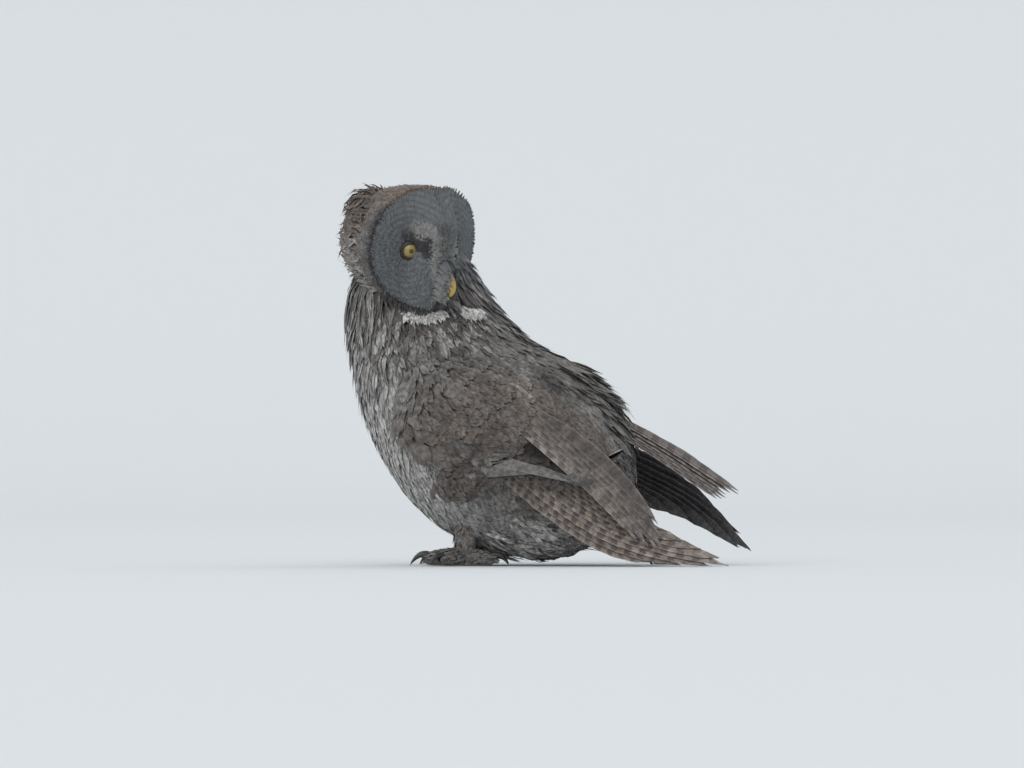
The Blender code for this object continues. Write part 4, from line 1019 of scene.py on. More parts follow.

# %% [markdown]
# Flight feathers lie in fans. A fan is a curved spine with a direction across it and one out of it. Each
# feather is a line through the fan at its own place across, a little above or below its neighbour, so that
# they overlap as a hand of cards. The web is split by a few nicks.

# %% Fans of flight feathers
class Fan:
    """A curved spine through named points, with normals that turn from the first to the last."""

    def __init__(self, points, first, last, stations):
        self.path = spline(np.array(points) * MM, np.linspace(0, len(points) - 1, stations))
        along = unit(np.gradient(self.path, axis=0))
        turn = np.linspace(0, 1, stations)[:, None]
        self.side = unit(np.cross(unit(np.array(first) * (1 - turn) + np.array(last) * turn), along))
        self.out = np.cross(along, self.side)

    def vanes(self, start, end, q_root, q_tip, k, rows):
        """Centre lines of long feathers, spine + side * q + out * k; the arrays hold one value a feather."""
        t = row_places(rows)[None]
        q = (q_root[:, None] + (q_tip - q_root)[:, None] * t ** 1.1) * MM
        at = np.clip(start + (end - start)[:, None] * t, 0, 1) * (len(self.path) - 1)
        path, side, out = between(at, self.path, self.side, self.out)
        raised = out * np.broadcast_to(k[:, None] * MM, q.shape)[..., None]
        return path + side * q[..., None] + raised, unit(out)


NEAR = [(20, -92, 145), (60, -91, 118), (105, -88, 84), (160, -86, 47), (225, -93, 23), (294, -110, 3)]
FAR = [(20, 92, 160), (65, 91, 150), (120, 88, 131), (185, 80, 101), (250, 67, 69), (324, 52, 15)]
TAIL = [(110, 2, 190), (150, 2, 173), (200, 0, 148), (250, -2, 118), (306, -4, 80)]
OVER = np.array([(62, -106.5, 152), (105, -106.5, 124), (150, -103, 88), (190, -100.5, 45), (214, -101, 13)])


def flight(coat, lines, width, ground, mark, bars, strength, seed, **shape):
    """Long barred vanes, nine columns wide, with a few splits. The bars of neighbours alternate."""
    n = len(width)
    tint = np.random.default_rng(seed - 2).uniform(0.85, 1.15, n)[:, None]
    plant(coat, *lines, width * MM, ground * tint, mark * tint, (0.15, strength, bars / 10, 0.3), seed,
          rank=0.25 + 0.5 * (np.arange(n) % 2), columns=9, camber=0.035, ragged=0.06, **shape)


order = np.arange(10)
ends = np.array([0.66, 0.71, 0.77, 0.84, 0.91, 0.97, 1.0, 0.95, 0.86, 0.77])
tips = np.array([23, 20, 17, 13, 9, 5, 0, -8, -16, -23.0])
for fan, sense, name, light, dark, strength in (
        (Fan(NEAR, (0.06, -1, 0.06), (0.10, -0.78, 0.60), 21), 1, "vanes_primary_left",
         BUFF * 0.26 + DRAB * 0.80, DUSK * 0.70, 0.75),
        # The far wing's primaries run from grey to near-black by their order, darkest under the tail: painted
        # shade of the tail over their inner side.
        (Fan(FAR, (-0.06, 1, 0.06), (0.02, 0.92, 0.38), 21), -1, "vanes_primary_right",
         mixed(ASH * 0.36, SOOT * 1.9, order / 5), SOOT * 1.2, 0.35)):
    coat = Coat(name)
    lines = fan.vanes(0.12, ends, np.linspace(22, -22, 10), tips, sense * (4.5 - order) * 1.12, 40)
    flight(coat, lines, 19 + 0.35 * order, light, dark, 17, strength, 62 + sense, outline=QUILL, fray=0.03,
           lean=-0.06 * sense)
    coat.make(FLIGHT_FEATHER)

coat = Coat("vanes_tertial", toned=False)
order = np.arange(6)
light = DRAB * np.array([1.7, 1.25, 1.05, 0.95, 1.0, 0.85])[:, None]
for fan, sense, reach in ((Fan(OVER, (0.06, -1, 0.10), (0.10, -0.95, 0.20), 17), 1, 1.0),
                          (Fan(OVER * [1, -1, 1], (0.06, 1, 0.10), (0.10, 0.95, 0.20), 17), -1, 0.66)):
    end = reach - 0.075 * np.abs(order - 2.4)
    lines = fan.vanes(0.0, end, sense * (1 + 5.6 * order), sense * (6.0 * order - 9), 1.12 * order - 2.8, 30)
    flight(coat, lines, np.full(6, 18.0), light, DUSK * 0.95, 9.0, 0.6, 72 + sense, fray=0.05)
coat.make(FLIGHT_FEATHER)

coat = Coat("vanes_tail")
fan = Fan(TAIL, (0.42, -0.30, 0.86), (0.50, -0.36, 0.80), 17)
for side, step, layers in ((-1, 0.008, (3.9, 1.7, -0.5, -1.6, -2.7, -3.8)),
                           (1, 0.035, (5, 2.8, 0.6, -1.6, -2.7, -3.8))):
    end = 1 - step * order - 0.01 * (order % 3)
    lines = fan.vanes(0.2, end, side * (2 + 3.2 * order), side * (3 + 6.2 * order), np.array(layers), 34)
    flight(coat, lines, np.full(6, 19.0), DRAB * 1.05, UMBER * 1.2, 9.0, 0.7, 82 + side,
           outline=QUILL, fray=0.03)
coat.make(FLIGHT_FEATHER)

# %% [markdown]
# The face is two dishes of small stiff feathers that stream away from the eyes. Dark and pale marks lie on
# them in rings round each eye. Between the eyes stand two pale crescents back to back, with a brown stripe
# between them and a black patch on their outer side.

# %% Face
EYES = np.stack([eye_place(-1), eye_place(1)])


def face(l, v, h=0.0):
    """The face with h measured along its true normal, FACE - slope across * SIDE - slope up * CROWN."""
    l, v = spread(l, v)
    step = 0.5 * MM
    dl = (disc_depth(l + step, v) - disc_depth(l - step, v)) / (2 * step)
    dv = (disc_depth(l, v + step) - disc_depth(l, v - step)) / (2 * step)
    normal = unit(FACE - dl[..., None] * SIDE - dv[..., None] * CROWN)
    return on_face(l, v) + normal * np.broadcast_to(np.asarray(h, float), l.shape)[..., None]


def near_line(l, v, corners, low, high):
    """1 within low mm of a broken line through the corners, 0 beyond high mm; both sides of the face."""
    here = np.stack([np.abs(l), v], -1) / MM
    best = np.full(len(here), 1e9)
    for p, q in zip(np.array(corners[:-1], float), np.array(corners[1:], float)):
        part = np.clip(((here - p) @ (q - p)) / ((q - p) @ (q - p)), 0, 1)[:, None]
        best = np.minimum(best, np.linalg.norm(here - p - (q - p) * part, axis=-1))
    return 1 - smooth(best, low, high)


def from_middle(l, v):
    """Distance from the middle of the disc, 1 at its rim."""
    return np.hypot(l / DISC_HALF, v / DISC_TALL)


def face_colours(l, v, seed):
    """Ground, mark and design by the place on the disc, and how strongly it is ringed."""
    picks = np.random.default_rng(seed)
    n = len(l)
    r, high = from_middle(l, v), smooth(v / DISC_TALL, 0.55, 0.9)
    from_eye = np.hypot(np.abs(l) - EYE_SIDE, v - EYE_UP) / MM
    ground = mixed(SLATE * 1.02, SLATE * 1.16, picks.uniform(0, 1, n))
    strength = np.full(n, 1.0)
    for colour, amount in (
            (PALE * 0.56, near_line(l, v, [(25, 24), (21, 22), (17, 14)], 3, 11)),
            (PALE * 0.58, near_line(l, v, [(15, 12), (12, -9), (7, -30)], 5, 11)),
            (UMBER * 2.4, (1 - smooth(np.abs(l) / MM, 1.6, 4.0)) * smooth(v / MM, -24, -12) * 0.8),
            (SOOT * 1.8, 1 - smooth(from_eye, 10.5, 12.5)),
            (SOOT, near_line(l, v, [(25, 10), (24.5, -3)], 3.8, 7.6)),
            (SOOT * 2.0, near_line(l, v, [(24, 11), (33, 14), (40, 14)], 2.0, 6.0) * 0.9),
            (PALE * 0.55, near_line(l, v, [(5, -36), (9, -52)], 3, 7)),
            (SOOT * 1.6, near_line(l, v, [(0, -56), (0, -72)], 5, 8)),
            (SOOT * 2.0, smooth(r, 0.91, 0.96) * (1 - high) * 0.95),
            (RUST * 0.7 + UMBER * 0.3, smooth(r, 0.93, 0.98) * high * 0.8)):
        ground = mixed(ground, colour, amount)
        strength = strength * (1 - amount) + (0.3 * amount if colour[0] == SOOT[0] * 1.8 else 0)
    return ground, SLATE * 0.42, (0.1, 0.0, 0.3, 0.08), strength


def face_rings(strength):
    """Rings 6.3 mm apart round the nearer eye: a number that grows by one a ring, 0 where there are none."""
    def ring(points):
        """Distance to the nearer eye over 6.3 mm, and 0 on feathers that are not ringed."""
        far = np.min([np.linalg.norm(points - eye, axis=-1) for eye in EYES], axis=0)
        return far / (6.3 * MM) * (strength[:, None, None] > 0.5)
    return ring


def squared(l, v):
    """Stretch places near the rim so that they fill its squarer corner."""
    stretch = 1 + (rim_square(l, v) - 1) * smooth(from_middle(l, v), 0.55, 1.0)
    return l * stretch, v * stretch


picks = np.random.default_rng(101)
pitch = 3.0 * MM / THIN
across = np.linspace(-1.03, 1.03, 400) * DISC_HALF
gone = np.concatenate([[0], np.cumsum(np.hypot(np.diff(across), np.diff(disc_depth(across, across * 0))))])
columns, rows = int(gone[-1] / pitch), int(2.1 * DISC_TALL / (pitch * 0.87))
l, v = np.meshgrid(np.arange(columns), np.arange(rows), indexing="ij")
l = np.interp((l + 0.5 * (v % 2) + picks.uniform(-0.3, 0.3, l.shape)).ravel() * pitch, gone, across)
v = (v - rows / 2 + picks.uniform(-0.3, 0.3, v.shape)).ravel() * pitch * 0.87
from_eye = np.hypot(np.abs(l) - EYE_SIDE, v - EYE_UP)
keep = (from_middle(l, v) < 0.985) & (from_eye > 8.5 * MM)
keep &= ~((np.abs(l) < 5.5 * MM) & (v < -19 * MM) & (v > -46 * MM))
l, v, from_eye = l[keep], v[keep], from_eye[keep]
n = len(l)
way = unit(np.stack([l - np.sign(l) * EYE_SIDE, v - EYE_UP], -1)) + picks.normal(0, 0.06, (n, 2))
steep = (disc_depth(l + MM, v) - disc_depth(l - MM, v)) / (2 * MM)
length = np.interp(from_eye, [8 * MM, 16 * MM, 40 * MM], [5 * MM, 9 * MM, 13 * MM])
length = length * picks.uniform(0.85, 1.15, n)
length = length / np.sqrt(1 + (steep * way[:, 0]) ** 2)
# Feathers that stream towards the midline stop at it, and those near the rim stop inside it.
to_middle = np.abs(l) / np.maximum(np.abs(way[:, 0]), 0.1) + 1.5 * MM
length = np.where(np.sign(l) * way[:, 0] < 0, np.minimum(length, to_middle), length)
for _ in range(3):
    length = np.where(from_middle(l + way[:, 0] * length, v + way[:, 1] * length) > 1.0, length * 0.65, length)
l_end, v_end = l + way[:, 0] * length, v + way[:, 1] * length
heights = level(picks.uniform(0.15, 0.5, n), -2.2, -0.9)
*look, strength = face_colours((l + l_end) / 2, (v + v_end) / 2, 102)
coat = Coat("coat_face")
plant(coat, *lay(face, *squared(l, v), *squared(l_end, v_end), heights, 5),
      np.interp(length, [3 * MM, 13 * MM], [2.6 * MM, 5.0 * MM]), *look, 103,
      ring=face_rings(strength), columns=4, camber=0.02, ragged=0.15, lean=picks.normal(0, 0.02, n))
# Two rows beside the midline stand up a little, so that the ridge parts the two dishes.
picks = np.random.default_rng(104)
n = many(260)
side = picks.choice([-1, 1], n)
l, v = side * picks.uniform(2.0, 11, n) * MM, picks.uniform(-18, 34, n) * MM
reach = picks.uniform(4, 7, n) * MM
heights = level(picks.uniform(1.2, 2.2, n), -2.0, 0.4)
lines = lay(face, l, v, l + side * reach * 0.8, v + picks.normal(0, 0.3, n) * reach + 0.2 * reach, heights, 5)
plant(coat, *lines, picks.uniform(2.2, 3.4, n) * MM, *face_colours(l, v, 107)[:3], 108, columns=4,
      camber=0.03, ragged=0.15, fray=0.12)
# Grey bristles beside the bill bend forwards and down over it, so that only its ridge is left bare.
picks = np.random.default_rng(105)
n = many(300)
side = picks.choice([-1, 1], n)
over = picks.uniform(0, 1, n) < 0.3


def either(first, second):
    """Random numbers from one range for the bristles over the ridge and from another for those beside it."""
    return np.where(over, picks.uniform(*first, n), picks.uniform(*second, n))


l, v = side * either((0, 7), (5.0, 13)) * MM, either((-19, -7), (-50, -10)) * MM
close = 1 - np.abs(l) / (14 * MM)
t = row_places(6)[None, :, None]
start = on_face(l, v, np.full(n, -2 * MM))
far = either((14, 18), (15, 24)) * np.where(over, 1, 0.66 + 0.78 * close)
goal = start + FACE * far[:, None] * MM - CROWN * either((11, 15), (3, 12))[:, None] * MM
inward = np.where(over, 0.3 * np.abs(l), np.maximum(np.abs(l) - picks.uniform(3.4, 6.0, n) * MM, 0) * 0.7)
goal = goal - SIDE * (side * inward)[:, None]
centre = start[:, None] * (1 - t) + goal[:, None] * t + FACE * 3 * MM * 4 * t * (1 - t)
away = unit(SIDE * np.where(over, l / (7 * MM), side)[:, None] * 0.9 + FACE * 0.5)
ground = mixed(SLATE * 1.2, PALE * 0.5, picks.uniform(0.2, 1, n) * smooth(-v / MM, 8, 30))
plant(coat, centre, np.broadcast_to(away[:, None], centre.shape), picks.uniform(2.0, 3.2, n) * MM, ground,
      SLATE * 0.5, (0.2, 0.0, 0.3, 0.1), 106, columns=4, camber=0.05, ragged=0.2, fray=0.2)
coat.make(FACE_FEATHER)

# %% [markdown]
# Round the disc runs a ruff of short dense feathers. Behind it the crown and the back of the head are barred
# grey-brown, warmer along the top edge.

# %% Ruff, crown and back of the head
def loose(t, turn):
    """How much a place on the skull belongs to the wind-blown part: from just behind the rim on the sides,
    from half way back on the crown."""
    start = np.where(np.cos(turn) > 0, 0.09 + 0.40 * smooth(np.sin(turn), 0.55, 0.98), 0.45)
    return smooth(t, start, start + 0.12)


def skull_colours(points, t, turn, seed):
    """Barred grey-brown, rusty along the top edge, sooty in the rim."""
    picks = np.random.default_rng(seed)
    n = len(t)
    fine, broad = clumps(points, 0.014, seed + 1), clumps(points, 0.035, seed + 2)
    top = smooth(np.sin(turn), 0.45, 0.9)
    rim = 1 - smooth(t, 0.02, 0.10)
    ground = mixed(mixed(DRAB * 0.9, ASH * 0.72, fine), RUST, 0.5 * top * (1 - smooth(t, 0.1, 0.5)))
    ground = mixed(ground, mixed(SOOT * 1.9, RUST * 0.9, top), 0.85 * rim)
    design = [np.full(n, 0.2), 0.55 - 0.4 * rim, picks.uniform(0.3, 0.45, n), picks.uniform(0.1, 0.3, n)]
    return ground, mixed(UMBER * 1.2, SOOT * 1.6, broad), np.stack(design, -1)


coat = Coat("coat_crown")
t, turn = rings_of_roots(skull, np.arange(0.0, 0.93, 0.034 / THIN), 4.2 * MM / THIN, 111, 0.4, 0, 2 * np.pi)
picks = np.random.default_rng(112)
t = np.clip(t, 0, 0.97)
hidden = np.linalg.norm((skull(t, turn) - NAPE) / (NAPE_AXES - 6 * MM), axis=-1) < 1
tidy = ~hidden & (loose(t, turn) < picks.uniform(0.2, 0.8, len(t)))
BLOWN = (t[~hidden & ~tidy], turn[~hidden & ~tidy])
t, turn = t[tidy], turn[tidy]
n = len(t)
length = picks.uniform(11, 17, n) * MM * (0.6 + 0.4 * smooth(t, 0.0, 0.15)) * np.where(t > 0.85, 0.6, 1)
lift = picks.uniform(0, 1, n) ** 3 * 1.5 * MM * smooth(t, 0.0, 0.15)
sunk = 1.6 * MM * ((1 - smooth(t, 0.05, 0.25)) * smooth(-np.cos(turn), -0.3, 0.3))[:, None]
heights = rising(lift, (-4, 0), (-2, 0.4), (-0.6, 1)) - sunk
lines = tract(skull, t, turn, length, picks.normal(0, 0.12, n), heights)
plant(coat, *lines, length * picks.uniform(0.30, 0.42, n), *skull_colours(lines[0][:, 2], t, turn, 113), 115,
      camber=0.04, ragged=0.22, fray=0.18, lean=picks.normal(0, 0.06, n))
coat.make(BODY_FEATHER)

# %% [markdown]
# The wind has lifted the nape feathers into a ragged tuft behind the disc. They are laid round a rounded
# core and stream away from the crown, each one raised at its tip.

# %% Nape tuft
POLE = unit(np.array([0.75, 0.10, 0.62]))
POLE_X = unit(np.cross(POLE, [0, 1, 0]))
POLE_Y = np.cross(POLE, POLE_X)


def tuft_core(t, turn, h=0.0):
    """An ellipsoid round NAPE, t from 0 at the crown side to 1 at the far end; h swells it outwards."""
    t, turn = spread(t, turn)
    h = np.broadcast_to(np.asarray(h, float), t.shape)
    ring = np.sin(np.pi * t)[..., None] * (np.cos(turn)[..., None] * POLE_X + np.sin(turn)[..., None] * POLE_Y)
    way = np.cos(np.pi * t)[..., None] * POLE + ring
    return NAPE + way * (NAPE_AXES - 9 * MM) * (1 + h / (30 * MM))[..., None]


def nape_colours(centre, seed):
    """Rusty brown above, grey with pale tips below."""
    picks = np.random.default_rng(seed)
    n = len(centre)
    fine = clumps(centre[:, 2], 0.012, seed + 1)
    low = 0.8 * (1 - smooth(centre[:, -1, 2] / MM, 362, 400))
    worn = 0.5 * fine + 0.5 * picks.uniform(0, 1, n)
    ground = mixed(RUST * 0.42 + DRAB * 0.15, DRAB * 0.95 + RUST * 0.1, worn)
    ground = mixed(ground, mixed(DRAB * 1.3, PALE, picks.uniform(0, 1, n)), low)
    ranges = ((0.1, 0.6), (0.1, 0.5), (0.2, 0.4), (0.1, 0.35))
    design = np.stack([picks.uniform(*ends, n) for ends in ranges], -1)
    return ground, mixed(UMBER * 1.3, DUSK, picks.uniform(0, 1, n)), design


coat = Coat("coat_nape")
picks = np.random.default_rng(122)
core = rings_of_roots(tuft_core, np.arange(0.06, 0.97, 0.034 / THIN), 3.6 * MM / THIN, 121, 0.45, 0, 2 * np.pi)
for surface, (t, turn), seed, tall, base in ((tuft_core, core, 123, 12, 4.0), (skull, BLOWN, 127, 8, 0.0)):
    n = len(t)
    near = smooth(np.cos(turn), -0.2, 0.4) if surface is skull else np.ones(n)
    length = picks.uniform(13, 25, n) * MM * (0.6 + 0.4 * near)
    rise = (0.15 + 0.85 * picks.uniform(0, 1, n) ** 1.6) * tall * MM * (0.3 + 0.7 * near)
    heights = rising(rise, (-4, 0), (-1.5, 0.3), (0, 0.65), (0.5, 1)) + base * MM
    centre, out = tract(surface, t, turn, length, picks.normal(0, 0.5, n), heights, 7)
    centre = centre + picks.normal(0, 1.5, (n, 1, 3)) * MM * row_places(7)[None, :, None] ** 1.5
    plant(coat, centre, out, length * picks.uniform(0.16, 0.26, n), *nape_colours(centre, seed), seed + 3,
          ragged=0.3, fray=0.28, lean=picks.normal(0, 0.15, n))
coat.make(BODY_FEATHER)

# %% [markdown]
# Under the disc hang the throat feathers: white on both sides, black in the middle, the bow tie of this
# owl. They start at the lower rim and fall forwards and down.

# %% Bow tie
def under(x, y):
    """Stations and angles of the trunk's near side at places of the photograph, from a fine table of places.
    Pixel (470, 565) is the place where the soles rest."""
    grids = np.meshgrid(np.linspace(0, 2.5, 120), np.linspace(-3.1, -0.1, 200), indexing="ij")
    s, a = (k.ravel() for k in grids)
    held = trunk(s, a) / MM
    wide, tall = (x - 470) * MM_PER_PIXEL, (565 - y) * MM_PER_PIXEL
    best = ((held[None, :, 0] - wide[:, None]) ** 2 + (held[None, :, 2] - tall[:, None]) ** 2).argmin(1)
    return s[best], a[best]


coat = Coat("coat_throat")
picks = np.random.default_rng(131)
for x_mid, y_mid, x_half, y_half, count, colour, top in (
        (452, 318, 8, 15, 110, DUSK * 1.15, 3.5), (423, 312, 20, 5.5, 200, WHITE * 1.12, 5.0),
        (469, 310, 11, 5, 120, WHITE * 1.12, 5.0)):
    n = many(count)
    turn, far = picks.uniform(0, 2 * np.pi, n), np.sqrt(picks.uniform(0, 1, n))
    s, a = under(x_mid + x_half * far * np.cos(turn), y_mid + y_half * far * np.sin(turn))
    heights = level(picks.uniform(top - 1, top + 1.5, n), -2.0, 1.0, top - 0.5)
    lines = tract(trunk, s, a, picks.uniform(9, 15, n) * MM, picks.normal(0, 0.25, n), heights)
    ground = colour * picks.uniform(0.85, 1.05, n)[:, None]
    plant(coat, *lines, picks.uniform(2.8, 4.5, n) * MM, ground, UMBER * 2, (0.1, 0.0, 0.3, 0.1), 132,
          camber=0.05, ragged=0.25, fray=0.25, lean=picks.normal(0, 0.08, n))
n = many(150)
turn = -np.pi / 2 + picks.uniform(-1.1, 1.1, n)
l, v = DISC_HALF * np.cos(turn) * 0.97, DISC_TALL * np.sin(turn) * 0.97
start = on_face(l, v) - FACE * picks.uniform(1, 6, n)[:, None] * MM
fall = unit(-CROWN + FACE * -0.2 + np.array([0, 0, -0.3]) + picks.normal(0, 0.08, (n, 3)))[:, None]
away = unit(FACE + (l / DISC_HALF)[:, None] * SIDE * 0.6)[:, None]
t = row_places(6)[None, :, None]
reach = (picks.uniform(7, 12, n) * MM)[:, None, None]
centre = start[:, None] + fall * reach * t + away * 1.5 * MM * t * (1 - t)
plant(coat, centre, np.broadcast_to(away, centre.shape), picks.uniform(3, 4.5, n) * MM,
      mixed(SOOT * 2.5, DUSK * 1.3, picks.uniform(0, 1, n)), UMBER, (0.2, 0.1, 0.3, 0.1), 133,
      ragged=0.2, fray=0.2)
coat.make(BODY_FEATHER)

# %% [markdown]
# Legs and toes are feathered to the claws, as on all owls of the far north. Their feathers are the smallest
# of all but the face's, and lie along each toe.

# %% Legs and toes
def tube(path, radii):
    """A surface function round a path: first 0 to 1 along it, then the turn, with h added to the radius."""
    along = unit(np.gradient(path, axis=0))
    side = unit(np.cross(along, UP if abs(along[0, 2]) < 0.7 else np.array([1.0, 0.0, 0.0])))
    top = np.cross(side, along)

    def surface(t, turn, h=0.0):
        """The path's point plus side * r * cos(turn) plus top * r * sin(turn)."""
        t, turn = spread(t, turn)
        p, s, u, r = between(np.clip(t, 0, 1) * (len(path) - 1), path, side, top, radii)
        r = r + np.broadcast_to(np.asarray(h, float), t.shape)
        extra = np.maximum(t - 1, 0)[..., None] * (path[-1] - path[0])
        return p + extra + s * (r * np.cos(turn))[..., None] + u * (r * np.sin(turn))[..., None]

    return surface


def feathered(coat, surface, stations, pitch, seeds, sizes, depth, tips, colours, design):
    """Feathers round a tube; sizes are ranges of length and width, tips that of the tip's height, in mm."""
    t, turn = rings_of_roots(surface, stations, pitch * MM / THIN, seeds[0], 0.4, 0, 2 * np.pi)
    picks = np.random.default_rng(seeds[1])
    n = len(t)
    heights = level(picks.uniform(*tips, n), depth, -0.5)
    lines = tract(surface, t, turn, picks.uniform(*sizes[0], n) * MM, picks.normal(0, 0.15, n), heights, 5)
    ground = mixed(*colours, picks.uniform(0, 1, n))
    plant(coat, *lines, picks.uniform(*sizes[1], n) * MM, ground, DUSK, design, seeds[2],
          columns=4, ragged=0.2)


coat = Coat("coat_legs")
for side in (-1, 1):
    path, radii = leg_line(side)
    feathered(coat, tube(path[::-1], radii[::-1]), np.arange(0.05, 0.98, 0.075 / THIN), 6.5,
              (141 + side, 143 + side, 145 + side), ((14, 20), (5, 7.5)), -2.5, (0.3, 2.0),
              (ASH * 0.7, DRAB * 1.3), (0.25, 0.5, 0.35, 0.3))
    for index, (angle, long) in enumerate(TOES.values()):
        seed = index + 5 * side
        feathered(coat, tube(*toe_line(side, angle, long)), np.arange(0.02, 0.93, 0.10 / THIN), 4.2,
                  (150 + seed, 160 + seed, 170 + seed), ((7, 11), (3, 4.6)), -1.8, (0.0, 0.9),
                  (ASH * 0.75, DRAB * 1.2), (0.2, 0.35, 0.3, 0.3))
coat.make(BODY_FEATHER)

# %% [markdown]
# An eye is a ball whose colour depends only on the angle from the way it looks: black pupil, yellow iris
# with fine spokes and a darker edge, then the dark white. The angle and the turn round it are stored on the
# mesh. A clear coat gives the wet gloss.

# %% Eyes
def grid_mesh(name, points, material, values=None, close=True):
    """A mesh from a grid (n, m, 3) closed round its second way; values adds named point attributes."""
    n, m, _ = points.shape
    grid = np.arange(n * m).reshape(n, m)
    right = np.roll(grid, -1, 1)
    faces = np.stack([grid[:-1], right[:-1], right[1:], grid[1:]], -1).reshape(-1, 4).tolist()
    held = points.reshape(-1, 3)
    if close:
        held = np.concatenate([held, points[:1].mean(1), points[-1:].mean(1)])
        faces += [(n * m, int(b), int(a)) for a, b in zip(grid[0], right[0])]
        faces += [(n * m + 1, int(a), int(b)) for a, b in zip(grid[-1], right[-1])]
    mesh = bpy.data.meshes.new(name)
    mesh.from_pydata((held + SHIFT).tolist(), [], faces)
    mesh.polygons.foreach_set("use_smooth", [True] * len(faces))
    for label, value in (values or {}).items():
        flat = np.concatenate([value.ravel(), [value[0].mean(), value[-1].mean()]])
        fill(mesh.attributes.new(label, "FLOAT", "POINT").data, "value", flat)
    mesh.materials.append(material)
    piece = place(name, mesh)
    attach(piece, "root")
    return piece


EYE_PAINT, tree = new_material("eye")
tilt, turn = tree.read("tilt", "Fac"), tree.read("turn", "Fac")
spokes, finer = tree.sine(tree.times(turn, 61.0)), tree.sine(tree.times(turn, 143.0))
yellow = tree.blend(tree.scaled(tree.plus(spokes, finer), 0.06, 0.5), (0.25, 0.17, 0.032), (0.34, 0.255, 0.05))
yellow = tree.blend(tree.ramp(tilt, 30.0, 46.0), yellow, (0.22, 0.13, 0.02))
iris = tree.blend(tree.ramp(tilt, 12.6, 14.2), (0.004, 0.004, 0.004), yellow)
tree.shade({"Base Color": tree.blend(tree.ramp(tilt, 45.0, 48.0), iris, (0.010, 0.008, 0.007)),
            "Roughness": 0.35, "Coat Weight": 1.0, "Coat Roughness": 0.03})


def around_eye(side, tilt, turn, radius):
    """Points at an angle tilt from the way the eye looks and a turn round it."""
    look = unit(FACE + 0.35 * side * SIDE)
    right = unit(np.cross(look, [0, 0, 1]))
    across = np.cos(turn)[..., None] * right + np.sin(turn)[..., None] * np.cross(right, look)
    way = np.cos(tilt)[..., None] * look + np.sin(tilt)[..., None] * across
    return eye_place(side) + radius[..., None] * way


def turns(first, around):
    """The first numbers against evenly spaced turns, as two grids."""
    return np.meshgrid(first, np.linspace(0, 2 * np.pi, around, endpoint=False), indexing="ij")


for side, name in ((-1, "eye_left"), (1, "eye_right")):
    tilt, turn = turns(np.radians(np.linspace(1.5, 178, 72)), 64)
    bulge = 1.0 * MM * np.exp(-(tilt / 0.62) ** 4)
    ball = grid_mesh("ball_" + name, around_eye(side, tilt, turn, EYE_R - 0.4 * MM + bulge), EYE_PAINT,
                     {"tilt": np.degrees(tilt), "turn": turn})
    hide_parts(name)

# %% [markdown]
# Each eye has two lids: bands that hug the ball, open wider at the sides than above and below, with a
# rounded edge. They are dark skin, so they are nearly black and slightly moist.

# %% Lids
lid_paint, tree = new_material("lid_skin")
grain = tree.noise(tree.node("TexCoord", {}, output="Object"), 900.0, 3.0, 0.6)
tree.shade({"Base Color": tree.blend(grain, (0.008, 0.007, 0.007), (0.035, 0.030, 0.028)),
            "Normal": tree.bump(grain, 0.5, 0.0003), "Roughness": 0.45})
for side, name in ((-1, "left"), (1, "right")):
    part, turn = turns(np.linspace(0, 1, 14), 72)
    opening = np.radians(49 - 8 * np.maximum(np.sin(turn), 0) ** 2 - 3 * np.maximum(-np.sin(turn), 0) ** 2)
    tilt = np.interp(part, [0, 0.08, 0.2, 1], [0, 0, 0.12, 1]) * (np.radians(92) - opening) + opening
    thick = np.interp(part, [0, 0.06, 0.16, 0.35, 0.7, 1], [-1.6, 0.3, 1.1, 1.3, 0.9, -1.2]) * MM
    grid_mesh("lids_" + name, around_eye(side, tilt, turn, EYE_R + thick), lid_paint, close=False)

# %% [markdown]
# The bill hooks down from between the crescents. Both halves are tubes along a curved path. The upper one is
# narrow at the top ridge and wide at its cutting edge, and has a nostril pressed into each side.

# %% Bill
def sampled(table, count):
    """A table of numbers read smoothly at count places, in metres."""
    return spline(np.array(table, float), np.linspace(0, len(table) - 1, count)) * MM


def bill_half(name, table, radii, squash, nostrils, node):
    """Rings round the path of (v, d) pairs, with a pit of 1.7 mm where the nostrils are."""
    v, d = sampled(table, 44).T
    path = RIM + v[:, None] * CROWN + d[:, None] * FACE
    along = unit(np.gradient(path, axis=0))
    top = unit(np.cross(np.broadcast_to(SIDE, along.shape), along))
    top = top * np.sign(top @ FACE)[:, None]
    t, turn = turns(np.linspace(0, 1, 44), 40)
    keel = 1 - 0.16 * np.maximum(np.sin(turn), 0) * np.abs(np.cos(turn)) ** 0.6
    cut = 1 + 0.05 * np.exp(-((np.sin(turn) + 0.75) / 0.18) ** 2)
    pit = np.zeros((44, 40))
    for at in np.radians([32, 148] if nostrils else []):
        pit = pit + 1.7 * MM * np.exp(-((t - 0.27) / 0.055) ** 2 - ((turn - at) / 0.22) ** 2)
    r = np.maximum(sampled(radii, 44)[:, None] * keel * cut - pit, 0.15 * MM)
    rings = (path[:, None] + SIDE * (r * np.cos(turn))[..., None]
             + top[:, None] * (squash * r * np.sin(turn))[..., None])
    piece = grid_mesh(name, rings[:, ::-1], BILL_HORN, {"depth": t, "pit": pit[:, ::-1] / MM})
    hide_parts(node)


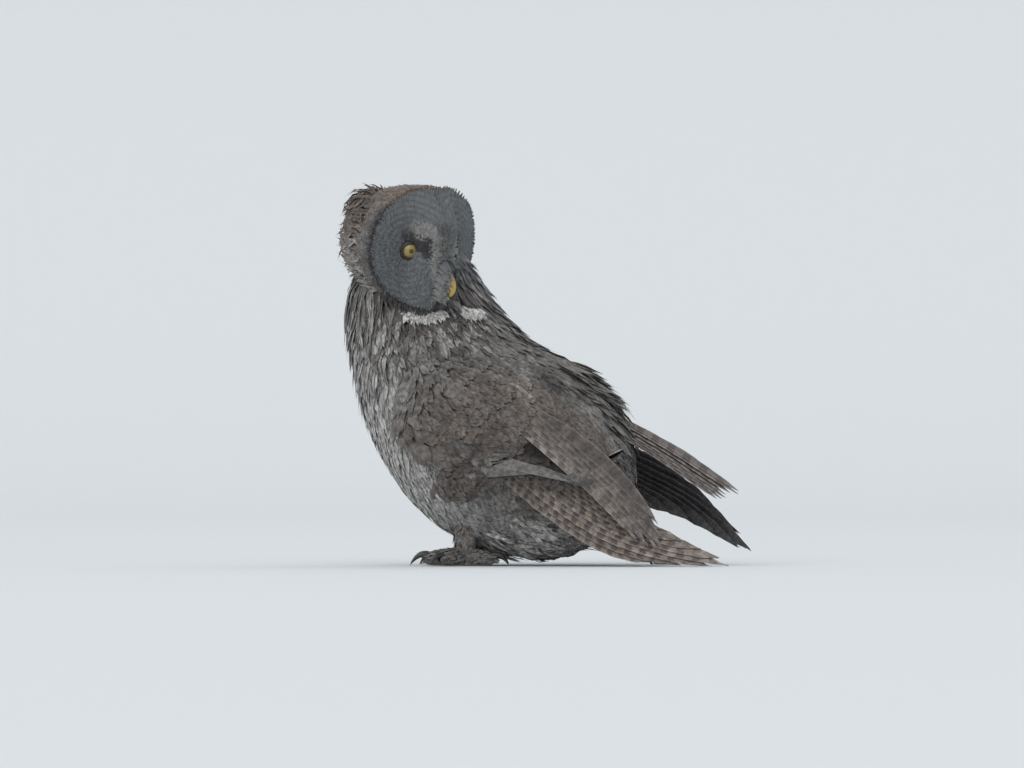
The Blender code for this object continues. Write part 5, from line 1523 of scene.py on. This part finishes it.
def horn_material(name, base, tip, dark):
    """Horn: pale along the ridge, finely lined along its length, glossy under a thin coat."""
    material, tree = new_material(name)
    spot = tree.node("TexCoord", {}, output="Object")
    grain, cloud = tree.noise(spot, 700.0, 4.0, 0.6), tree.noise(spot, 160.0)
    colour = tree.blend(tree.ramp(tree.read("depth", "Fac"), 0.15, 0.95), base, tip)
    colour = tree.blend(tree.times(tree.ramp(grain, 0.45, 0.75), 0.35), colour, dark)
    colour = tree.blend(tree.times(cloud, 0.25), colour, dark)
    # The nostril pits are painted near-black: painted shade inside them.
    colour = tree.blend(tree.ramp(tree.read("pit", "Fac"), 0.35, 1.1), colour, (0.01, 0.008, 0.006))
    tree.shade({"Base Color": colour, "Normal": tree.bump(grain, 0.35, 0.0003),
                "Roughness": tree.scaled(grain, 0.2, 0.3), "Coat Weight": 0.25, "Coat Roughness": 0.2})
    return material


BILL_HORN = horn_material("bill_horn", (0.30, 0.24, 0.10), (0.72, 0.47, 0.10), (0.16, 0.11, 0.04))
CLAW_HORN = horn_material("claw_horn", (0.050, 0.045, 0.042), (0.010, 0.009, 0.009), (0.016, 0.013, 0.012))
bill_half("bill_top",
          [(-15.5, 38.5), (-20.5, 46.5), (-26.5, 55), (-33.5, 61), (-39.5, 62.5), (-44.5, 61), (-47.5, 58)],
          [5.8, 6.0, 5.7, 4.9, 3.9, 2.5, 0.8], 1.1, True, "bill_upper")
bill_half("bill_below", [(-33.5, 44.5), (-37.5, 50), (-41.5, 53.5), (-45, 55)],
          [5.1, 4.7, 3.4, 1.1], 0.55, False, "bill_lower")

# %% Claws
for side, word in ((-1, "left"), (1, "right")):
    for toe, (angle, long) in TOES.items():
        reach, height = sampled([0, 6, 12, 17, 21, 23.5], 30), sampled([10.5, 12.5, 12, 9, 5, 1.2], 30)
        foot = np.array([FOOT_X, side * FOOT_Y, 0.0])
        path = foot + toe_way(side, angle) * ((long - 7) * MM + reach)[:, None] + UP * height[:, None]
        rings = tube_rings(path, sampled([3.6, 3.4, 2.9, 2.2, 1.3, 0.4], 30), 20)
        rings[..., 2] = np.maximum(rings[..., 2], 0.4 * MM)
        depth = turns(np.linspace(0, 1, 30), 20)[0]
        claw = grid_mesh("talon_" + word + "_" + toe, rings[:, ::-1], CLAW_HORN,
                         {"depth": depth, "pit": depth * 0})
        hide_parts("claw_" + word + "_" + toe)

# %% [markdown]
# The skin shows only between feathers. It takes the colours of the feathers rooted nearest to each of its
# points, so that no gap in the coat shines through. Its ground is 0.85 of theirs, painted shade in the gaps
# between feathers; on the flanks below the wings' lower edge both its colours fall to 0.4, painted shadow of
# the wings.

# %% Skin colours
def read_back(part, label, width=1, kind=np.float32):
    """One property of a mesh's parts as an array."""
    values = np.empty(len(part) * width, kind)
    part.foreach_get(label, values)
    return values.reshape(-1, width) if width > 1 else values


base, *painted = (np.concatenate(k) for k in zip(*SEEN))
mesh = skin.data
points = read_back(mesh.vertices, "co", 3) - SHIFT.astype(np.float32)
count = len(points)
nearest = np.empty(count, np.int64)
square = (base ** 2).sum(1)
for low in range(0, count, 4000):
    part = points[low:low + 4000]
    nearest[low:low + 4000] = (square - 2 * part @ base.T.astype(np.float32)).argmin(1)
# Painted shadow: the flanks below the wings' lower edge, behind x 20 to 40 mm and below z 138 to 148 mm, are
# darkened.
edge = smooth(np.abs(points[:, 1]) / MM, 82, 90) * smooth(points[:, 0] / MM, 20, 40)
painted_shadow_under_wings = 1 - 0.6 * (edge * (1 - smooth(points[:, 2] / MM, 138, 148)))[:, None]
ground, mark, design = (values[nearest] for values in painted)
vane = np.stack([points[:, 2] * 9 % 1, np.full(count, 0.5), np.full(count, 0.5)], -1)
corners = read_back(mesh.loops, "vertex_index", 1, np.int32)
sides = read_back(mesh.polygons, "loop_total", 1, np.int32)
normals = np.repeat(read_back(mesh.polygons, "normal", 3), sides, axis=0)
dress(mesh, unwrap(points[corners], normals), vane, ground * 0.85 * painted_shadow_under_wings, mark * painted_shadow_under_wings, design, np.zeros(count),
      tone_and_painted_shade(points))
mesh.materials.clear()
mesh.materials.append(BODY_FEATHER)
fill(mesh.polygons, "use_smooth", np.ones(len(mesh.polygons)), bool)
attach(skin, "root")
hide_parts("head", "neck", "torso", "leg_left", "leg_right", "foot_left", "foot_right")
for coat_name, nodes in (("coat_arm_left", ["wing_left"]), ("coat_arm_right", ["wing_right"]),
                         ("vanes_primary_left", ["primaries_left"]),
                         ("vanes_primary_right", ["primaries_right"]), ("vanes_tail", ["tail"])):
    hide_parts(*nodes)
print("skin coloured from", len(base), "feathers")

# %% Sizes and finish
low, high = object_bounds()
print("visual box", [round(v, 4) for v in low], [round(v, 4) for v in high])
